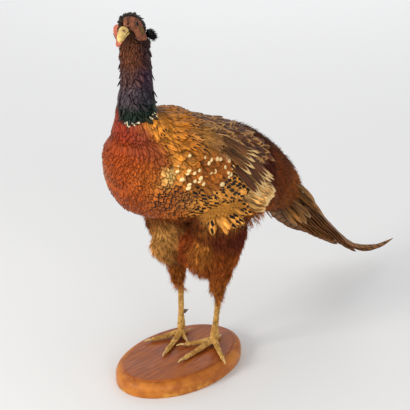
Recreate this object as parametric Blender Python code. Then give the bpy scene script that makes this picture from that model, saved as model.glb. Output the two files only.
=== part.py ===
"""A cock ring-necked pheasant, mounted by a taxidermist on an oval wooden plinth.

Metres, +Z up. The origin is the centre of the plinth's underside. The bird faces -Y, and its
left side is at +X. Run it with blender --background --python part.py, or from the text editor.
"""

import math

import bmesh
import bpy
from mathutils import Matrix, Vector

GAP = 0.0004  # the air left between two neighbouring solids
X_AXIS = Vector((1, 0, 0))
Z_AXIS = Vector((0, 0, 1))

# The plinth: an oval board whose top is stepped in and rounded over.
PLINTH_HALF_LENGTH = 0.1115
PLINTH_HALF_WIDTH = 0.0740
PLINTH_HEIGHT = 0.0236
PLINTH_MARGIN = 0.0112  # from the outer edge in to the flat top
PLINTH_STEP = 0.0025  # the small upright step round the flat top
PLINTH_EDGE = 0.0110  # the height of the upright outer edge
PLINTH_SIDES = 60

# Stations along a body part: (x, y, z, half width, height above the axis, depth below it).
TRUNK = (
    (0, -0.121, 0.345, 0.000, 0.000, 0.000),
    (0, -0.116, 0.345, 0.029, 0.030, 0.034),
    (0, -0.099, 0.343, 0.049, 0.053, 0.057),
    (0, -0.071, 0.336, 0.065, 0.073, 0.071),
    (0, -0.037, 0.324, 0.075, 0.082, 0.076),
    (0, 0.005, 0.311, 0.079, 0.077, 0.077),
    (0, 0.050, 0.297, 0.078, 0.074, 0.074),
    (0, 0.095, 0.281, 0.074, 0.072, 0.067),
    (0, 0.138, 0.263, 0.066, 0.066, 0.058),
    (0, 0.176, 0.245, 0.057, 0.058, 0.051),
    (0, 0.209, 0.228, 0.046, 0.048, 0.043),
    (0, 0.237, 0.210, 0.036, 0.038, 0.036),
    (0, 0.259, 0.193, 0.024, 0.025, 0.024),
    (0, 0.271, 0.183, 0.000, 0.000, 0.000),
)
# The neck rises from the trunk: here the height is towards the breast, the depth to the back.
NECK = (
    (0, -0.060, 0.340, 0.000, 0.000, 0.000),
    (0, -0.061, 0.346, 0.052, 0.047, 0.028),
    (0, -0.067, 0.370, 0.048, 0.046, 0.025),
    (0, -0.073, 0.392, 0.040, 0.042, 0.022),
    (0, -0.077, 0.412, 0.0300, 0.034, 0.0200),
    (0, -0.078, 0.434, 0.0245, 0.0260, 0.0205),
    (0, -0.079, 0.458, 0.0222, 0.0225, 0.0205),
    (0, -0.081, 0.482, 0.0210, 0.0210, 0.0200),
    (0, -0.083, 0.504, 0.0190, 0.0190, 0.0185),
    (-0.002, -0.085, 0.518, 0.000, 0.000, 0.000),
)
# The head has a frame of its own between the eyes, turned to its left, raised and tilted.
HEAD_PLACE = Vector((-0.003, -0.089, 0.5185))
HEAD_TURN = (22.0, -8.0, -16.0)  # degrees about Z, X and Y
HEAD = (
    (0, -0.0190, -0.001, 0.0000, 0.0000, 0.0000),
    (0, -0.0172, -0.001, 0.0078, 0.0085, 0.0085),
    (0, -0.0110, -0.001, 0.0118, 0.0132, 0.0128),
    (0, -0.0020, -0.001, 0.0156, 0.0178, 0.0170),
    (0, 0.0080, -0.001, 0.0170, 0.0188, 0.0180),
    (0, 0.0180, -0.003, 0.0156, 0.0172, 0.0170),
    (0, 0.0262, -0.006, 0.0102, 0.0112, 0.0112),
    (0, 0.0295, -0.007, 0.0000, 0.0000, 0.0000),
)
BEAK_BASE = (0, -0.0125, -0.0030)
BEAK_TIP = (0, -0.0410, -0.0165)
BEAK_HALF_WIDTH = 0.0072
BEAK_HEIGHT = 0.0080
EYE_RADIUS = 0.0044
EYE_PLACE = (0.0172, -0.0040, 0.0000)
WATTLE_PLACE = (0.0176, 0.0004, -0.0085)
WATTLE_SIZE = (0.0180, 0.0225)  # half length and half height
WATTLE_LEAN = 31.0  # its top leans this many degrees towards the beak
WATTLE_THICK = 0.0042
EAR_ROOT = (0.0160, 0.0125, -0.0080)
EAR_TIP = (0.0215, 0.0265, -0.0180)

# The folded wing lies on the trunk: a share of the trunk's length, the middle angle round the
# trunk in degrees (0 is straight out to the side), the half spread in degrees, the thickness.
WING = (
    (0.215, 14, 1, 0.0015),
    (0.245, 14, 22, 0.0050),
    (0.300, 12, 34, 0.0090),
    (0.380, 6, 38, 0.0110),
    (0.460, -3, 34, 0.0105),
    (0.540, -14, 26, 0.0095),
    (0.610, -25, 17, 0.0080),
    (0.655, -32, 9, 0.0060),
    (0.672, -35, 1, 0.0020),
)

# Stations of the feathered thigh: share of the way from hip to ankle, bulge to the rear, half
# width, size to the rear and size to the front.
HIP = Vector((0.046, 0.026, 0.275))
ANKLE = {"right": Vector((-0.0345, 0.043, 0.103)), "left": Vector((0.0375, 0.046, 0.103))}
THIGH = (
    (0.00, 0.000, 0.000, 0.000, 0.000),
    (0.04, 0.000, 0.038, 0.044, 0.034),
    (0.23, 0.000, 0.041, 0.052, 0.038),
    (0.41, 0.002, 0.038, 0.047, 0.036),
    (0.59, 0.004, 0.029, 0.032, 0.027),
    (0.76, 0.001, 0.0185, 0.018, 0.022),
    (0.90, -0.001, 0.0105, 0.0095, 0.0130),
    (0.98, 0.000, 0.0062, 0.0066, 0.0066),
    (1.00, 0.000, 0.000, 0.000, 0.000),
)
SHANK_RADIUS = 0.0043
FOOT_TOP = 0.0105  # the height of the toes' joint above the plinth
SPUR_LENGTH = 0.0110
SPUR_SHARE = 0.66  # how far down the shank the spur grows
FEET = {  # the toes' joint, then each toe's tip, in the plane of the plinth's top
    "right": ((-0.030, 0.038), {
        "outer": (-0.056, -0.019), "middle": (-0.004, -0.034),
        "inner": (-0.0035, 0.0225), "hind": (-0.029, 0.064)}),
    "left": ((0.024, 0.050), {
        "outer": (0.081, 0.007), "middle": (0.025, -0.034),
        "inner": (-0.011, 0.003), "hind": (0.017, 0.078)}),
}
TOE_RADIUS = 0.0040
CLAW_LENGTH = 0.0125

# Tail feathers in pairs from the middle pair out: length on the left and on the right, half
# width, yaw outwards and lift in degrees, and how far the root lies under the middle pair's.
TAIL_ROOT = Vector((0, 0.220, 0.252))
TAIL_PITCH = 43.0
TAIL_ROLL = 34.0  # the feathers lie like a roof, sloping down to each side
TAIL_PAIRS = (
    (0.405, 0.318, 0.0150, 0.3, 0.0, 0.000),
    (0.298, 0.288, 0.0150, 0.7, 1.1, 0.016),
    (0.250, 0.244, 0.0145, 1.2, 2.4, 0.032),
    (0.198, 0.192, 0.0140, 1.8, 3.9, 0.0475),
    (0.142, 0.138, 0.0125, 2.5, 6.2, 0.0640),
)
VANE_THICK = 0.0009


def clear_scene():
    for obj in list(bpy.data.objects):
        bpy.data.objects.remove(obj)


def finish_material(name, colour, roughness, metallic=0.0):
    """A plain Principled material."""
    made = bpy.data.materials.new(name)
    made.use_nodes = True
    shader = made.node_tree.nodes["Principled BSDF"]
    shader.inputs["Base Color"].default_value = (*colour, 1)
    shader.inputs["Roughness"].default_value = roughness
    shader.inputs["Metallic"].default_value = metallic
    return made


def add_object(name, mesh_data, material, smooth_angle=50):
    """A bmesh made into an object, with its faces turned outwards."""
    bmesh.ops.recalc_face_normals(mesh_data, faces=mesh_data.faces)
    if mesh_data.calc_volume(signed=True) < 0:
        bmesh.ops.reverse_faces(mesh_data, faces=mesh_data.faces)
    mesh = bpy.data.meshes.new(name)
    mesh_data.to_mesh(mesh)
    mesh_data.free()
    mesh.shade_smooth()
    mesh.set_sharp_from_angle(angle=math.radians(smooth_angle))
    mesh.materials.append(material)
    obj = bpy.data.objects.new(name, mesh)
    bpy.context.collection.objects.link(obj)
    return obj


def along(keys, share):
    """The row at a share from 0 to 1 of a list of stations, on a smooth curve through them."""
    place = min(max(share, 0.0), 1.0) * (len(keys) - 1)
    i = min(int(place), len(keys) - 2)
    t = place - i
    before, start = keys[max(i - 1, 0)], keys[i]
    end, after = keys[i + 1], keys[min(i + 2, len(keys) - 1)]
    return [
        0.5 * (2 * b + (c - a) * t + (2 * a - 5 * b + 4 * c - d) * t * t
               + (3 * b - a - 3 * c + d) * t * t * t)
        for a, b, c, d in zip(before, start, end, after)
    ]


def section_frame(keys, share, side=X_AXIS):
    """Centre, sideways axis, upward axis and sizes of a section of a body part."""
    row = along(keys, share)
    ahead = Vector(along(keys, share + 0.01)[:3])
    behind = Vector(along(keys, share - 0.01)[:3])
    forward = (ahead - behind).normalized()
    across = (side - side.dot(forward) * forward).normalized()
    return Vector(row[:3]), across, across.cross(forward), row[3:]


def bridge_rings(mesh_data, rings):
    """Joins rings of points into a closed skin. A ring of one point is a pole."""
    made = [[mesh_data.verts.new(p) for p in ring] for ring in rings]
    for first, second in zip(made, made[1:]):
        count = max(len(first), len(second))
        for i in range(count):
            j = (i + 1) % count
            corners = [first[i % len(first)], first[j % len(first)],
                       second[j % len(second)], second[i % len(second)]]
            mesh_data.faces.new(list(dict.fromkeys(corners)))


def loft(name, keys, material, sections, sides, side=X_AXIS):
    """A body part: smooth elliptical sections through its stations, closed at both ends."""
    rings = [[Vector(keys[0][:3])]]
    for i in range(1, sections):
        centre, across, upward, (wide, high, deep) = section_frame(keys, i / sections, side)
        ring = []
        for k in range(sides):
            turn = 2 * math.pi * k / sides
            rise = high if math.sin(turn) > 0 else deep
            ring.append(centre + across * max(wide, 1e-4) * math.cos(turn)
                        + upward * max(rise, 1e-4) * math.sin(turn))
        rings.append(ring)
    rings.append([Vector(keys[-1][:3])])
    mesh_data = bmesh.new()
    bridge_rings(mesh_data, rings)
    return add_object(name, mesh_data, material)


def carve(obj, *neighbours, gap=GAP):
    """Cuts the neighbours, each grown by the gap, out of obj."""
    for neighbour in neighbours:
        cutter = neighbour.copy()
        cutter.data = neighbour.data.copy()
        cutter.name = f"cutter_{obj.name}_{neighbour.name}"
        cutter.modifiers.clear()
        cutter.hide_render = True
        cutter.display_type = "WIRE"
        bpy.context.collection.objects.link(cutter)
        grow = cutter.modifiers.new("gap", "DISPLACE")
        grow.mid_level = 0
        grow.strength = gap
        cut = obj.modifiers.new(f"clear_{neighbour.name}", "BOOLEAN")
        cut.operation = "DIFFERENCE"
        cut.solver = "EXACT"
        cut.object = cutter


def make_plinth(material):
    """The oval board: an upright edge, a quarter round, a small step and the flat top."""
    round_high = PLINTH_HEIGHT - PLINTH_EDGE - PLINTH_STEP
    profile = [(0.0015, 0.0), (0.0, 0.0015)]
    for k in range(5):
        turn = math.pi / 2 * k / 4
        profile.append((PLINTH_MARGIN * 0.9 * (1 - math.cos(turn)),
                        PLINTH_EDGE + round_high * math.sin(turn)))
    profile += [(PLINTH_MARGIN, PLINTH_HEIGHT - PLINTH_STEP),
                (PLINTH_MARGIN + 0.0004, PLINTH_HEIGHT - 0.0004),
                (PLINTH_MARGIN + 0.0012, PLINTH_HEIGHT)]
    rings = []
    for inset, height in profile:
        ring = []
        for k in range(PLINTH_SIDES):
            turn = 2 * math.pi * k / PLINTH_SIDES
            ring.append(Vector(((PLINTH_HALF_WIDTH - inset) * math.cos(turn),
                                (PLINTH_HALF_LENGTH - inset) * math.sin(turn), height)))
        rings.append(ring)
    mesh_data = bmesh.new()
    bridge_rings(mesh_data, rings)
    open_edges = [e for e in mesh_data.edges if e.is_boundary]
    bmesh.ops.holes_fill(mesh_data, edges=open_edges)
    return add_object("plinth", mesh_data, material, smooth_angle=35)


def head_frame():
    """The head's own frame: X to the bird's left, -Y out along the beak, Z up."""
    yaw, pitch, roll = (math.radians(angle) for angle in HEAD_TURN)
    return (Matrix.Translation(HEAD_PLACE) @ Matrix.Rotation(yaw, 4, "Z")
            @ Matrix.Rotation(pitch, 4, "X") @ Matrix.Rotation(roll, 4, "Y"))


def in_head_frame(obj):
    """Moves a mesh drawn in the head's frame to its place."""
    obj.data.transform(head_frame())
    return obj


def make_beak(material, head):
    """The two halves of the beak, from the tip back. The upper half is the longer one."""
    base, tip = Vector(BEAK_BASE), Vector(BEAK_TIP)
    for name, high, deep, reach, under in (
        ("beak_upper", BEAK_HEIGHT, 0.0006, 1.0, 0.0),
        ("beak_lower", 0.0004, BEAK_HEIGHT * 0.50, 0.88, 0.0018),
    ):
        keys = []
        for k in range(8):
            share = 1 - k / 7
            taper = math.sqrt(max(0.0, 1 - share ** 1.8))
            if k == 7:
                taper = 0.0
            along_beak = share * reach if k < 7 else -0.05
            place = base.lerp(tip, along_beak)
            place.z += 0.0022 * math.sin(math.pi * share) - under
            keys.append((*place, BEAK_HALF_WIDTH * taper, high * taper, deep * taper))
        beak = in_head_frame(loft(name, tuple(keys), material, 10, 12))
        carve(beak, head)


def side_patch(name, material, sign):
    """A lobed cushion of bare skin that lies on the side of the head, in the head's frame."""
    mesh_data = bmesh.new()
    bmesh.ops.create_uvsphere(mesh_data, u_segments=20, v_segments=10, radius=1)
    lean = math.radians(WATTLE_LEAN)
    for vertex in mesh_data.verts:
        out, back, high = vertex.co
        turn = math.atan2(high, back)
        edge = 1 + 0.07 * math.cos(3 * turn + 0.6) + 0.05 * math.cos(5 * turn)
        back, high = back * WATTLE_SIZE[0] * edge, high * WATTLE_SIZE[1] * edge
        back, high = (back * math.cos(lean) - high * math.sin(lean),
                      high * math.cos(lean) + back * math.sin(lean))
        # The patch bends round the head, further in at the front and at its ends.
        bend = 9.0 * back ** 2 + 5.0 * high ** 2 + 0.16 * max(-back, 0)
        vertex.co = Vector((sign * (out * WATTLE_THICK - bend + WATTLE_PLACE[0]),
                            back + WATTLE_PLACE[1], high + WATTLE_PLACE[2]))
    return in_head_frame(add_object(name, mesh_data, material))


def make_head_parts(materials, head, neck, side, sign):
    """One side's eye, bare red skin and ear tuft."""
    eye_data = bmesh.new()
    bmesh.ops.create_uvsphere(
        eye_data, u_segments=12, v_segments=8, radius=EYE_RADIUS,
        matrix=Matrix.Translation((sign * EYE_PLACE[0], *EYE_PLACE[1:])))
    eye = in_head_frame(add_object(f"eye_{side}", eye_data, materials["eye"]))
    wattle = side_patch(f"wattle_{side}", materials["wattle"], sign)
    carve(wattle, head, eye, neck)
    carve(eye, head)
    root, tip = (Vector((sign * p[0], p[1], p[2])) for p in (EAR_ROOT, EAR_TIP))
    ear_keys = tuple(
        (*root.lerp(tip, share), wide, wide * 1.25, wide * 1.25)
        for share, wide in ((-0.2, 0.0), (-0.1, 0.0032), (0.25, 0.0052), (0.6, 0.0046),
                            (0.88, 0.0026), (1.0, 0.0))
    )
    ear = loft(f"ear_tuft_{side}", ear_keys, materials["dark_feather"], 8, 10, side=Z_AXIS)
    in_head_frame(ear)
    carve(ear, head, wattle, neck)


def on_trunk(share, angle, lift):
    """The point on the trunk's surface at a share of its length and an angle, lifted off it."""
    centre, across, upward, (wide, high, deep) = section_frame(TRUNK, share)
    rise = high if math.sin(angle) > 0 else deep
    normal = (across * math.cos(angle) / wide + upward * math.sin(angle) / rise).normalized()
    surface = centre + across * wide * math.cos(angle) + upward * rise * math.sin(angle)
    return surface + normal * lift


def make_wing(side, sign, material, trunk, sections=12, sides=6):
    """The folded wing, a curved plate that follows the trunk and is thickest in its middle."""
    rings = []
    for i in range(sections + 1):
        share, middle, spread, thick = along(WING, i / sections)
        outer, inner = [], []
        for k in range(sides + 1):
            across = -1 + 2 * k / sides
            angle = math.radians(middle + spread * across)
            lift = thick * math.sqrt(max(0.0, 1 - 0.92 * across * across))
            outer.append(on_trunk(share, angle, lift))
            inner.append(on_trunk(share, angle, -0.003))
        rings.append([Vector((sign * p.x, p.y, p.z)) for p in outer + inner[::-1]])
    mesh_data = bmesh.new()
    bridge_rings(mesh_data, rings)
    open_edges = [e for e in mesh_data.edges if e.is_boundary]
    bmesh.ops.holes_fill(mesh_data, edges=open_edges)
    wing = add_object(f"wing_{side}", mesh_data, material)
    carve(wing, trunk)
    return wing


def make_thigh(side, sign, material, trunk, wing):
    """The feathered thigh, which narrows down to the bare shank."""
    hip = Vector((sign * HIP.x, HIP.y, HIP.z))
    keys = []
    for share, bulge, wide, rear, front in THIGH:
        place = hip.lerp(ANKLE[side], share) + Vector((0, bulge, 0))
        keys.append((*place, wide, rear, front))
    thigh = loft(f"thigh_{side}", tuple(keys), material, 12, 16)
    carve(thigh, trunk)
    carve(thigh, wing, gap=2.5 * GAP)
    return thigh


def make_shank(side, sign, material, thigh, spur_material):
    """The bare scaly leg from the thigh's feathers down to the toes, and its spur."""
    joint = Vector((*FEET[side][0], PLINTH_HEIGHT + FOOT_TOP))
    top = ANKLE[side] + Vector((0, 0, 0.014))
    keys = []
    for share, size in ((-0.04, 0.0), (0.0, 1.15), (0.18, 1.05), (0.45, 0.94), (0.70, 1.0),
                        (0.88, 1.30), (1.0, 1.25), (1.05, 0.0)):
        keys.append((*top.lerp(joint, share), SHANK_RADIUS * size * 0.92,
                     SHANK_RADIUS * size * 1.12, SHANK_RADIUS * size * 1.12))
    shank = loft(f"shank_{side}", tuple(keys), material, 12, 10)
    carve(shank, thigh)
    root = top.lerp(joint, SPUR_SHARE)
    lean = Vector((-sign * 0.45, 0.88, -0.10)).normalized()
    spur_keys = tuple(
        (*(root + lean * SPUR_LENGTH * s + Z_AXIS * 0.0030 * max(s, 0) ** 2), w, w * 1.4, w * 1.4)
        for s, w in ((0.05, 0.0), (0.12, 0.0026), (0.45, 0.0030), (0.7, 0.0020), (0.95, 0.0007),
                     (1.15, 0.0))
    )
    spur = loft(f"spur_{side}", spur_keys, spur_material, 7, 8)
    carve(spur, shank)
    return shank


def toe_keys(joint, tip, hind):
    """Stations along a toe: down from its joint, over two knuckles and out to the claw."""
    joint_point = Vector((*joint, PLINTH_HEIGHT + FOOT_TOP * 0.75))
    claw_share = CLAW_LENGTH * (0.8 if hind else 1.0)
    flat = Vector((tip[0] - joint[0], tip[1] - joint[1], 0))
    reach = flat.length - claw_share
    direction = flat.normalized()
    size = TOE_RADIUS * (0.72 if hind else 1.0)
    rest = PLINTH_HEIGHT + GAP
    keys = [(*joint_point, 0.0, 0.0, 0.0)]
    for share, lift, wide in ((0.04, 0.70, 1.30), (0.20, 0.42, 1.15), (0.45, 0.08, 1.08),
                              (0.66, 0.0, 0.86), (0.85, 0.0, 0.94), (0.97, 0.0, 0.62)):
        radius = size * wide
        height = rest + radius * 0.95 + lift * (joint_point.z - rest - radius)
        point = Vector((joint[0], joint[1], height)) + direction * reach * share
        keys.append((*point, radius, radius * 0.95, radius * 0.90))
    end = Vector((joint[0], joint[1], rest + size * 0.6)) + direction * reach
    keys.append((*end, 0.0, 0.0, 0.0))
    return tuple(keys), direction, end, size


def make_foot(side, material, claw_material, shank):
    """The four toes joined into one foot, with a claw at the end of each."""
    joint, toes = FEET[side]
    foot_parts = []
    for toe, tip in toes.items():
        hind = toe == "hind"
        keys, direction, end, size = toe_keys(joint, tip, hind)
        across = direction.cross(Z_AXIS)
        foot_parts.append(loft(f"toe_{side}_{toe}", keys, material, 10, 8, side=across))
        start = end - direction * 0.0022 + Z_AXIS * 0.0006
        claw_length = CLAW_LENGTH * (0.8 if hind else 1.0) + 0.0022
        claw_keys = tuple(
            (*(start + direction * claw_length * s
               + Z_AXIS * (0.0016 * math.sin(math.pi * min(s, 1)) - 0.0010 * s * s)),
             size * w, size * w * 1.1, size * w * 0.7)
            for s, w in ((0.0, 0.0), (0.05, 0.50), (0.3, 0.52), (0.6, 0.38), (0.85, 0.20),
                         (1.0, 0.0))
        )
        claw = loft(f"claw_{side}_{toe}", claw_keys, claw_material, 6, 6, side=across)
        carve(claw, foot_parts[-1])
    foot = foot_parts[0]
    foot.name = f"foot_{side}"
    for other in foot_parts[1:]:
        join = foot.modifiers.new(f"join_{other.name}", "BOOLEAN")
        join.operation = "UNION"
        join.solver = "EXACT"
        join.object = other
        other.hide_render = True
        other.display_type = "WIRE"
    carve(foot, shank)


def tail_vane(name, material, root, yaw, pitch, length, half_width, curl, taper, sign):
    """A long tail feather: a thin blade that narrows to a point, its outer edge lower."""
    rings = []
    sections = 13
    roll = math.radians(TAIL_ROLL)
    point = root.copy()
    for i in range(sections + 1):
        share = i / sections
        wide = half_width * (0.60 + 0.40 * math.sin(math.pi * min(share * 1.8, 0.5)))
        wide = max(wide * max(0.0, 1 - share ** taper) ** 0.75, 0.0009)
        bend = curl * max(0.0, (share - 0.66) / 0.34) ** 1.4
        slope = math.radians(pitch - 1.0 * share) - bend
        heading = math.radians(yaw) + 0.25 * bend
        ahead = Vector((math.sin(heading) * math.cos(slope),
                        math.cos(heading) * math.cos(slope), -math.sin(slope)))
        if i:
            point = point + ahead * length / sections
        across = (X_AXIS - X_AXIS.dot(ahead) * ahead).normalized()
        normal = across.cross(ahead)
        across, normal = (across * math.cos(roll) - normal * math.sin(roll),
                          normal * math.cos(roll) + across * math.sin(roll))
        top, under = [], []
        for place in (-1, 0, 1):
            thick = VANE_THICK * (0.6 if abs(place) == 1 else 1.0)
            centre = point + across * wide * place - normal * 0.10 * wide * place * place
            top.append(centre + normal * thick)
            under.append(centre - normal * thick)
        rings.append([Vector((sign * p.x, p.y, p.z)) for p in top + under[::-1]])
    mesh_data = bmesh.new()
    bridge_rings(mesh_data, rings)
    open_edges = [e for e in mesh_data.edges if e.is_boundary]
    bmesh.ops.holes_fill(mesh_data, edges=open_edges)
    return add_object(name, mesh_data, material)


def make_tail(material, trunk):
    """Five pairs of tail feathers, each pair shorter and under the one before."""
    for number, (left, right, half_width, yaw, lift, under) in enumerate(TAIL_PAIRS, start=1):
        for side, sign, length in (("left", 1, left), ("right", -1, right)):
            inner = half_width * math.cos(math.radians(TAIL_ROLL)) + 0.0016
            root = TAIL_ROOT + Vector((inner, 0, -under))
            curl, taper = (0.90, 1.25) if length == TAIL_PAIRS[0][0] else (0.04, 2.4)
            vane = tail_vane(f"tail_{number}_{side}", material, root, yaw,
                             TAIL_PITCH - lift, length, half_width, curl, taper, sign)
            carve(vane, trunk)


def main():
    clear_scene()
    materials = {
        "walnut": finish_material("plinth_wood", (0.36, 0.13, 0.035), 0.35),
        "breast": finish_material("breast_feather", (0.42, 0.13, 0.02), 0.6),
        "neck": finish_material("neck_feather", (0.03, 0.035, 0.07), 0.35, 0.3),
        "head": finish_material("head_feather", (0.06, 0.02, 0.015), 0.6),
        "dark_feather": finish_material("ear_feather", (0.012, 0.012, 0.012), 0.7),
        "wing": finish_material("wing_feather", (0.38, 0.16, 0.035), 0.6),
        "thigh": finish_material("thigh_feather", (0.26, 0.07, 0.012), 0.7),
        "tail": finish_material("tail_feather", (0.17, 0.10, 0.04), 0.6),
        "beak": finish_material("beak_horn", (0.62, 0.48, 0.18), 0.4),
        "wattle": finish_material("face_skin", (0.42, 0.10, 0.06), 0.5),
        "eye": finish_material("glass_eye", (0.03, 0.015, 0.008), 0.05),
        "leg": finish_material("leg_scales", (0.42, 0.28, 0.10), 0.5),
        "claw": finish_material("claw_horn", (0.55, 0.40, 0.18), 0.4),
        "spur": finish_material("spur_horn", (0.12, 0.08, 0.06), 0.4),
    }
    make_plinth(materials["walnut"])
    trunk = loft("trunk", TRUNK, materials["breast"], 22, 26)
    neck = loft("neck", NECK, materials["neck"], 15, 18)
    carve(neck, trunk)
    head = in_head_frame(loft("head", HEAD, materials["head"], 13, 16))
    carve(head, neck)
    make_beak(materials["beak"], head)
    for side, sign in (("left", 1), ("right", -1)):
        make_head_parts(materials, head, neck, side, sign)
        wing = make_wing(side, sign, materials["wing"], trunk)
        thigh = make_thigh(side, sign, materials["thigh"], trunk, wing)
        shank = make_shank(side, sign, materials["leg"], thigh, materials["spur"])
        make_foot(side, materials["leg"], materials["claw"], shank)
    make_tail(materials["tail"], trunk)


main()
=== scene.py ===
"""The looks of a mounted cock pheasant on its oval wooden base.

Metres, +Z up. The bird faces -Y, its left side is at +X, and the base stands on Z = 0. One skin
stands for the flesh, and the feathers are solid vanes and tufts that follow the lie of the coat.
"""

import math

import bmesh
import bpy
import numpy as np
from mathutils import Matrix, Vector, noise
from mathutils.bvhtree import BVHTree


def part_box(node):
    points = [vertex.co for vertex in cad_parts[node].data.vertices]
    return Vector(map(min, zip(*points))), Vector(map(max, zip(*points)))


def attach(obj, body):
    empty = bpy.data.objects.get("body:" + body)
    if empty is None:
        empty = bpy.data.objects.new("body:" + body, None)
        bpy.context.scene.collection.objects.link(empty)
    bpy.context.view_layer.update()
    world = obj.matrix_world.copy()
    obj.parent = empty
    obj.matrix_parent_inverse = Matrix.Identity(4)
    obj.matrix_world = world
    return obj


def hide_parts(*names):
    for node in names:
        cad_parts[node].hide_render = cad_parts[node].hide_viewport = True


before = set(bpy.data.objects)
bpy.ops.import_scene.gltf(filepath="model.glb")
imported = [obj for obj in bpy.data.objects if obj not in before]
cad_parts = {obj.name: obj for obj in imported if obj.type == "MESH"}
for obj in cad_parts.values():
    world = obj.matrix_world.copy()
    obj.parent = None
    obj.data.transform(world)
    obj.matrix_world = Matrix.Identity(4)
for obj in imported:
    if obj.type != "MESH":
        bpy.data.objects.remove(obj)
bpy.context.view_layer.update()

FLESH = ("trunk", "neck", "head", "thigh_left", "thigh_right", "wing_left", "wing_right")
SKIN_VOXEL = 0.0028
SKIN_CLOSE = 0.0006  # closes the fine gaps between the flesh nodes
PATCH = 0.003  # the size of one feather's patch on the bake map

rng = np.random.default_rng(7)


# ---------------------------------------------------------------- small tools

def node_points(name):
    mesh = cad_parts[name].data
    points = np.empty(len(mesh.vertices) * 3, np.float32)
    mesh.vertices.foreach_get("co", points)
    return points.reshape(-1, 3).astype(float)


def unit(vectors):
    vectors = np.asarray(vectors, float)
    return vectors / (np.linalg.norm(vectors, axis=-1, keepdims=True) + 1e-12)


def link(name, data):
    obj = bpy.data.objects.new(name, data)
    bpy.context.collection.objects.link(obj)
    return obj


def mesh_object(name, vertices, faces, material=None, smooth=True):
    mesh = bpy.data.meshes.new(name)
    mesh.from_pydata([tuple(v) for v in vertices], [], faces)
    mesh.validate()
    if smooth:
        mesh.shade_smooth()
    if material:
        mesh.materials.append(material)
    return link(name, mesh)


def face_outwards(mesh):
    """Turns the faces of closed shells outwards."""
    body = bmesh.new()
    body.from_mesh(mesh)
    bmesh.ops.recalc_face_normals(body, faces=body.faces)
    body.to_mesh(mesh)
    body.free()


def stitched(rings):
    """Faces between rings of points, where a ring of one point closes an end."""
    faces = []
    for first, second in zip(rings, rings[1:]):
        count = max(len(first), len(second))
        for k in range(count):
            j = (k + 1) % count
            corners = [first[k % len(first)], second[k % len(second)],
                       second[j % len(second)], first[j % len(first)]]
            faces.append(list(dict.fromkeys(corners)))
    return faces


def banded(rings, sides):
    """Faces of a closed stack of equal rings: its bands, its underside and its top."""
    faces = [[ring * sides + k, ring * sides + (k + 1) % sides,
              (ring + 1) * sides + (k + 1) % sides, (ring + 1) * sides + k]
             for ring in range(rings - 1) for k in range(sides)]
    last = (rings - 1) * sides
    return faces + [list(range(sides))[::-1], list(range(last, last + sides))]


def evaluated_copy(obj, name):
    """The object's evaluated mesh as a plain object, and the source removed."""
    graph = bpy.context.evaluated_depsgraph_get()
    graph.update()
    mesh = bpy.data.meshes.new_from_object(
        obj.evaluated_get(graph), preserve_all_data_layers=True, depsgraph=graph)
    mesh.name = name
    bpy.data.objects.remove(obj)
    return link(name, mesh)


def welded_copy(nodes, name, grow=0.0):
    """CAD nodes copied into one object, merged, and grown along their normals."""
    whole = bmesh.new()
    for node in nodes:
        part = bmesh.new()
        part.from_mesh(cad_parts[node].data)
        bmesh.ops.remove_doubles(part, verts=part.verts, dist=1e-5)
        part.normal_update()
        for vertex in part.verts:
            vertex.co += vertex.normal * grow
        spare = bpy.data.meshes.new("spare")
        part.to_mesh(spare)
        part.free()
        whole.from_mesh(spare)
        bpy.data.meshes.remove(spare)
    mesh = bpy.data.meshes.new(name)
    whole.to_mesh(mesh)
    whole.free()
    return link(name, mesh)


def remeshed(nodes, name, voxel, smoothing, grow=0.0):
    """CAD nodes as one smooth closed mesh of small even faces."""
    return remeshed_from(welded_copy(nodes, name, grow), name, voxel, smoothing)


def remeshed_from(obj, name, voxel, smoothing):
    """The object's outer surface as one smooth closed mesh of small even faces."""
    remesh = obj.modifiers.new("even", "REMESH")
    remesh.mode = "VOXEL"
    remesh.voxel_size = voxel
    relax = obj.modifiers.new("relax", "SMOOTH")
    relax.factor = 0.5
    relax.iterations = smoothing
    made = evaluated_copy(obj, name)
    keep_largest_shell(made.data)
    made.data.shade_smooth()
    return made


def keep_largest_shell(mesh):
    body = bmesh.new()
    body.from_mesh(mesh)
    body.verts.ensure_lookup_table()
    seen, shells = set(), []
    for start in body.verts:
        if start.index in seen:
            continue
        shell, stack = [], [start]
        seen.add(start.index)
        while stack:
            vertex = stack.pop()
            shell.append(vertex)
            for edge in vertex.link_edges:
                other = edge.other_vert(vertex)
                if other.index not in seen:
                    seen.add(other.index)
                    stack.append(other)
        shells.append(shell)
    shells.sort(key=len)
    for shell in shells[:-1]:
        bmesh.ops.delete(body, geom=shell, context="VERTS")
    body.to_mesh(mesh)
    body.free()


def mesh_arrays(mesh):
    """Vertex places and normals as arrays."""
    count = len(mesh.vertices)
    places = np.empty(count * 3, np.float32)
    mesh.vertices.foreach_get("co", places)
    normals = np.empty(count * 3, np.float32)
    mesh.vertex_normals.foreach_get("vector", normals)
    return places.reshape(-1, 3).astype(float), normals.reshape(-1, 3).astype(float)


def move_points(mesh, places):
    mesh.vertices.foreach_set("co", places.astype(np.float32).ravel())


def unwrap(piece):
    """Gives a piece its bake map."""
    bpy.context.view_layer.objects.active = piece
    piece.select_set(True)
    bpy.ops.object.mode_set(mode="EDIT")
    bpy.ops.mesh.select_all(action="SELECT")
    bpy.ops.uv.smart_project(angle_limit=math.radians(66), island_margin=0.003)
    bpy.ops.object.mode_set(mode="OBJECT")
    piece.select_set(False)
    piece.data.uv_layers[0].name = "OFBake"


def give_material(piece, material):
    piece.data.materials.clear()
    piece.data.materials.append(material)


def drop_attributes(mesh, names):
    for name in names:
        mesh.attributes.remove(mesh.attributes[name])


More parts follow.
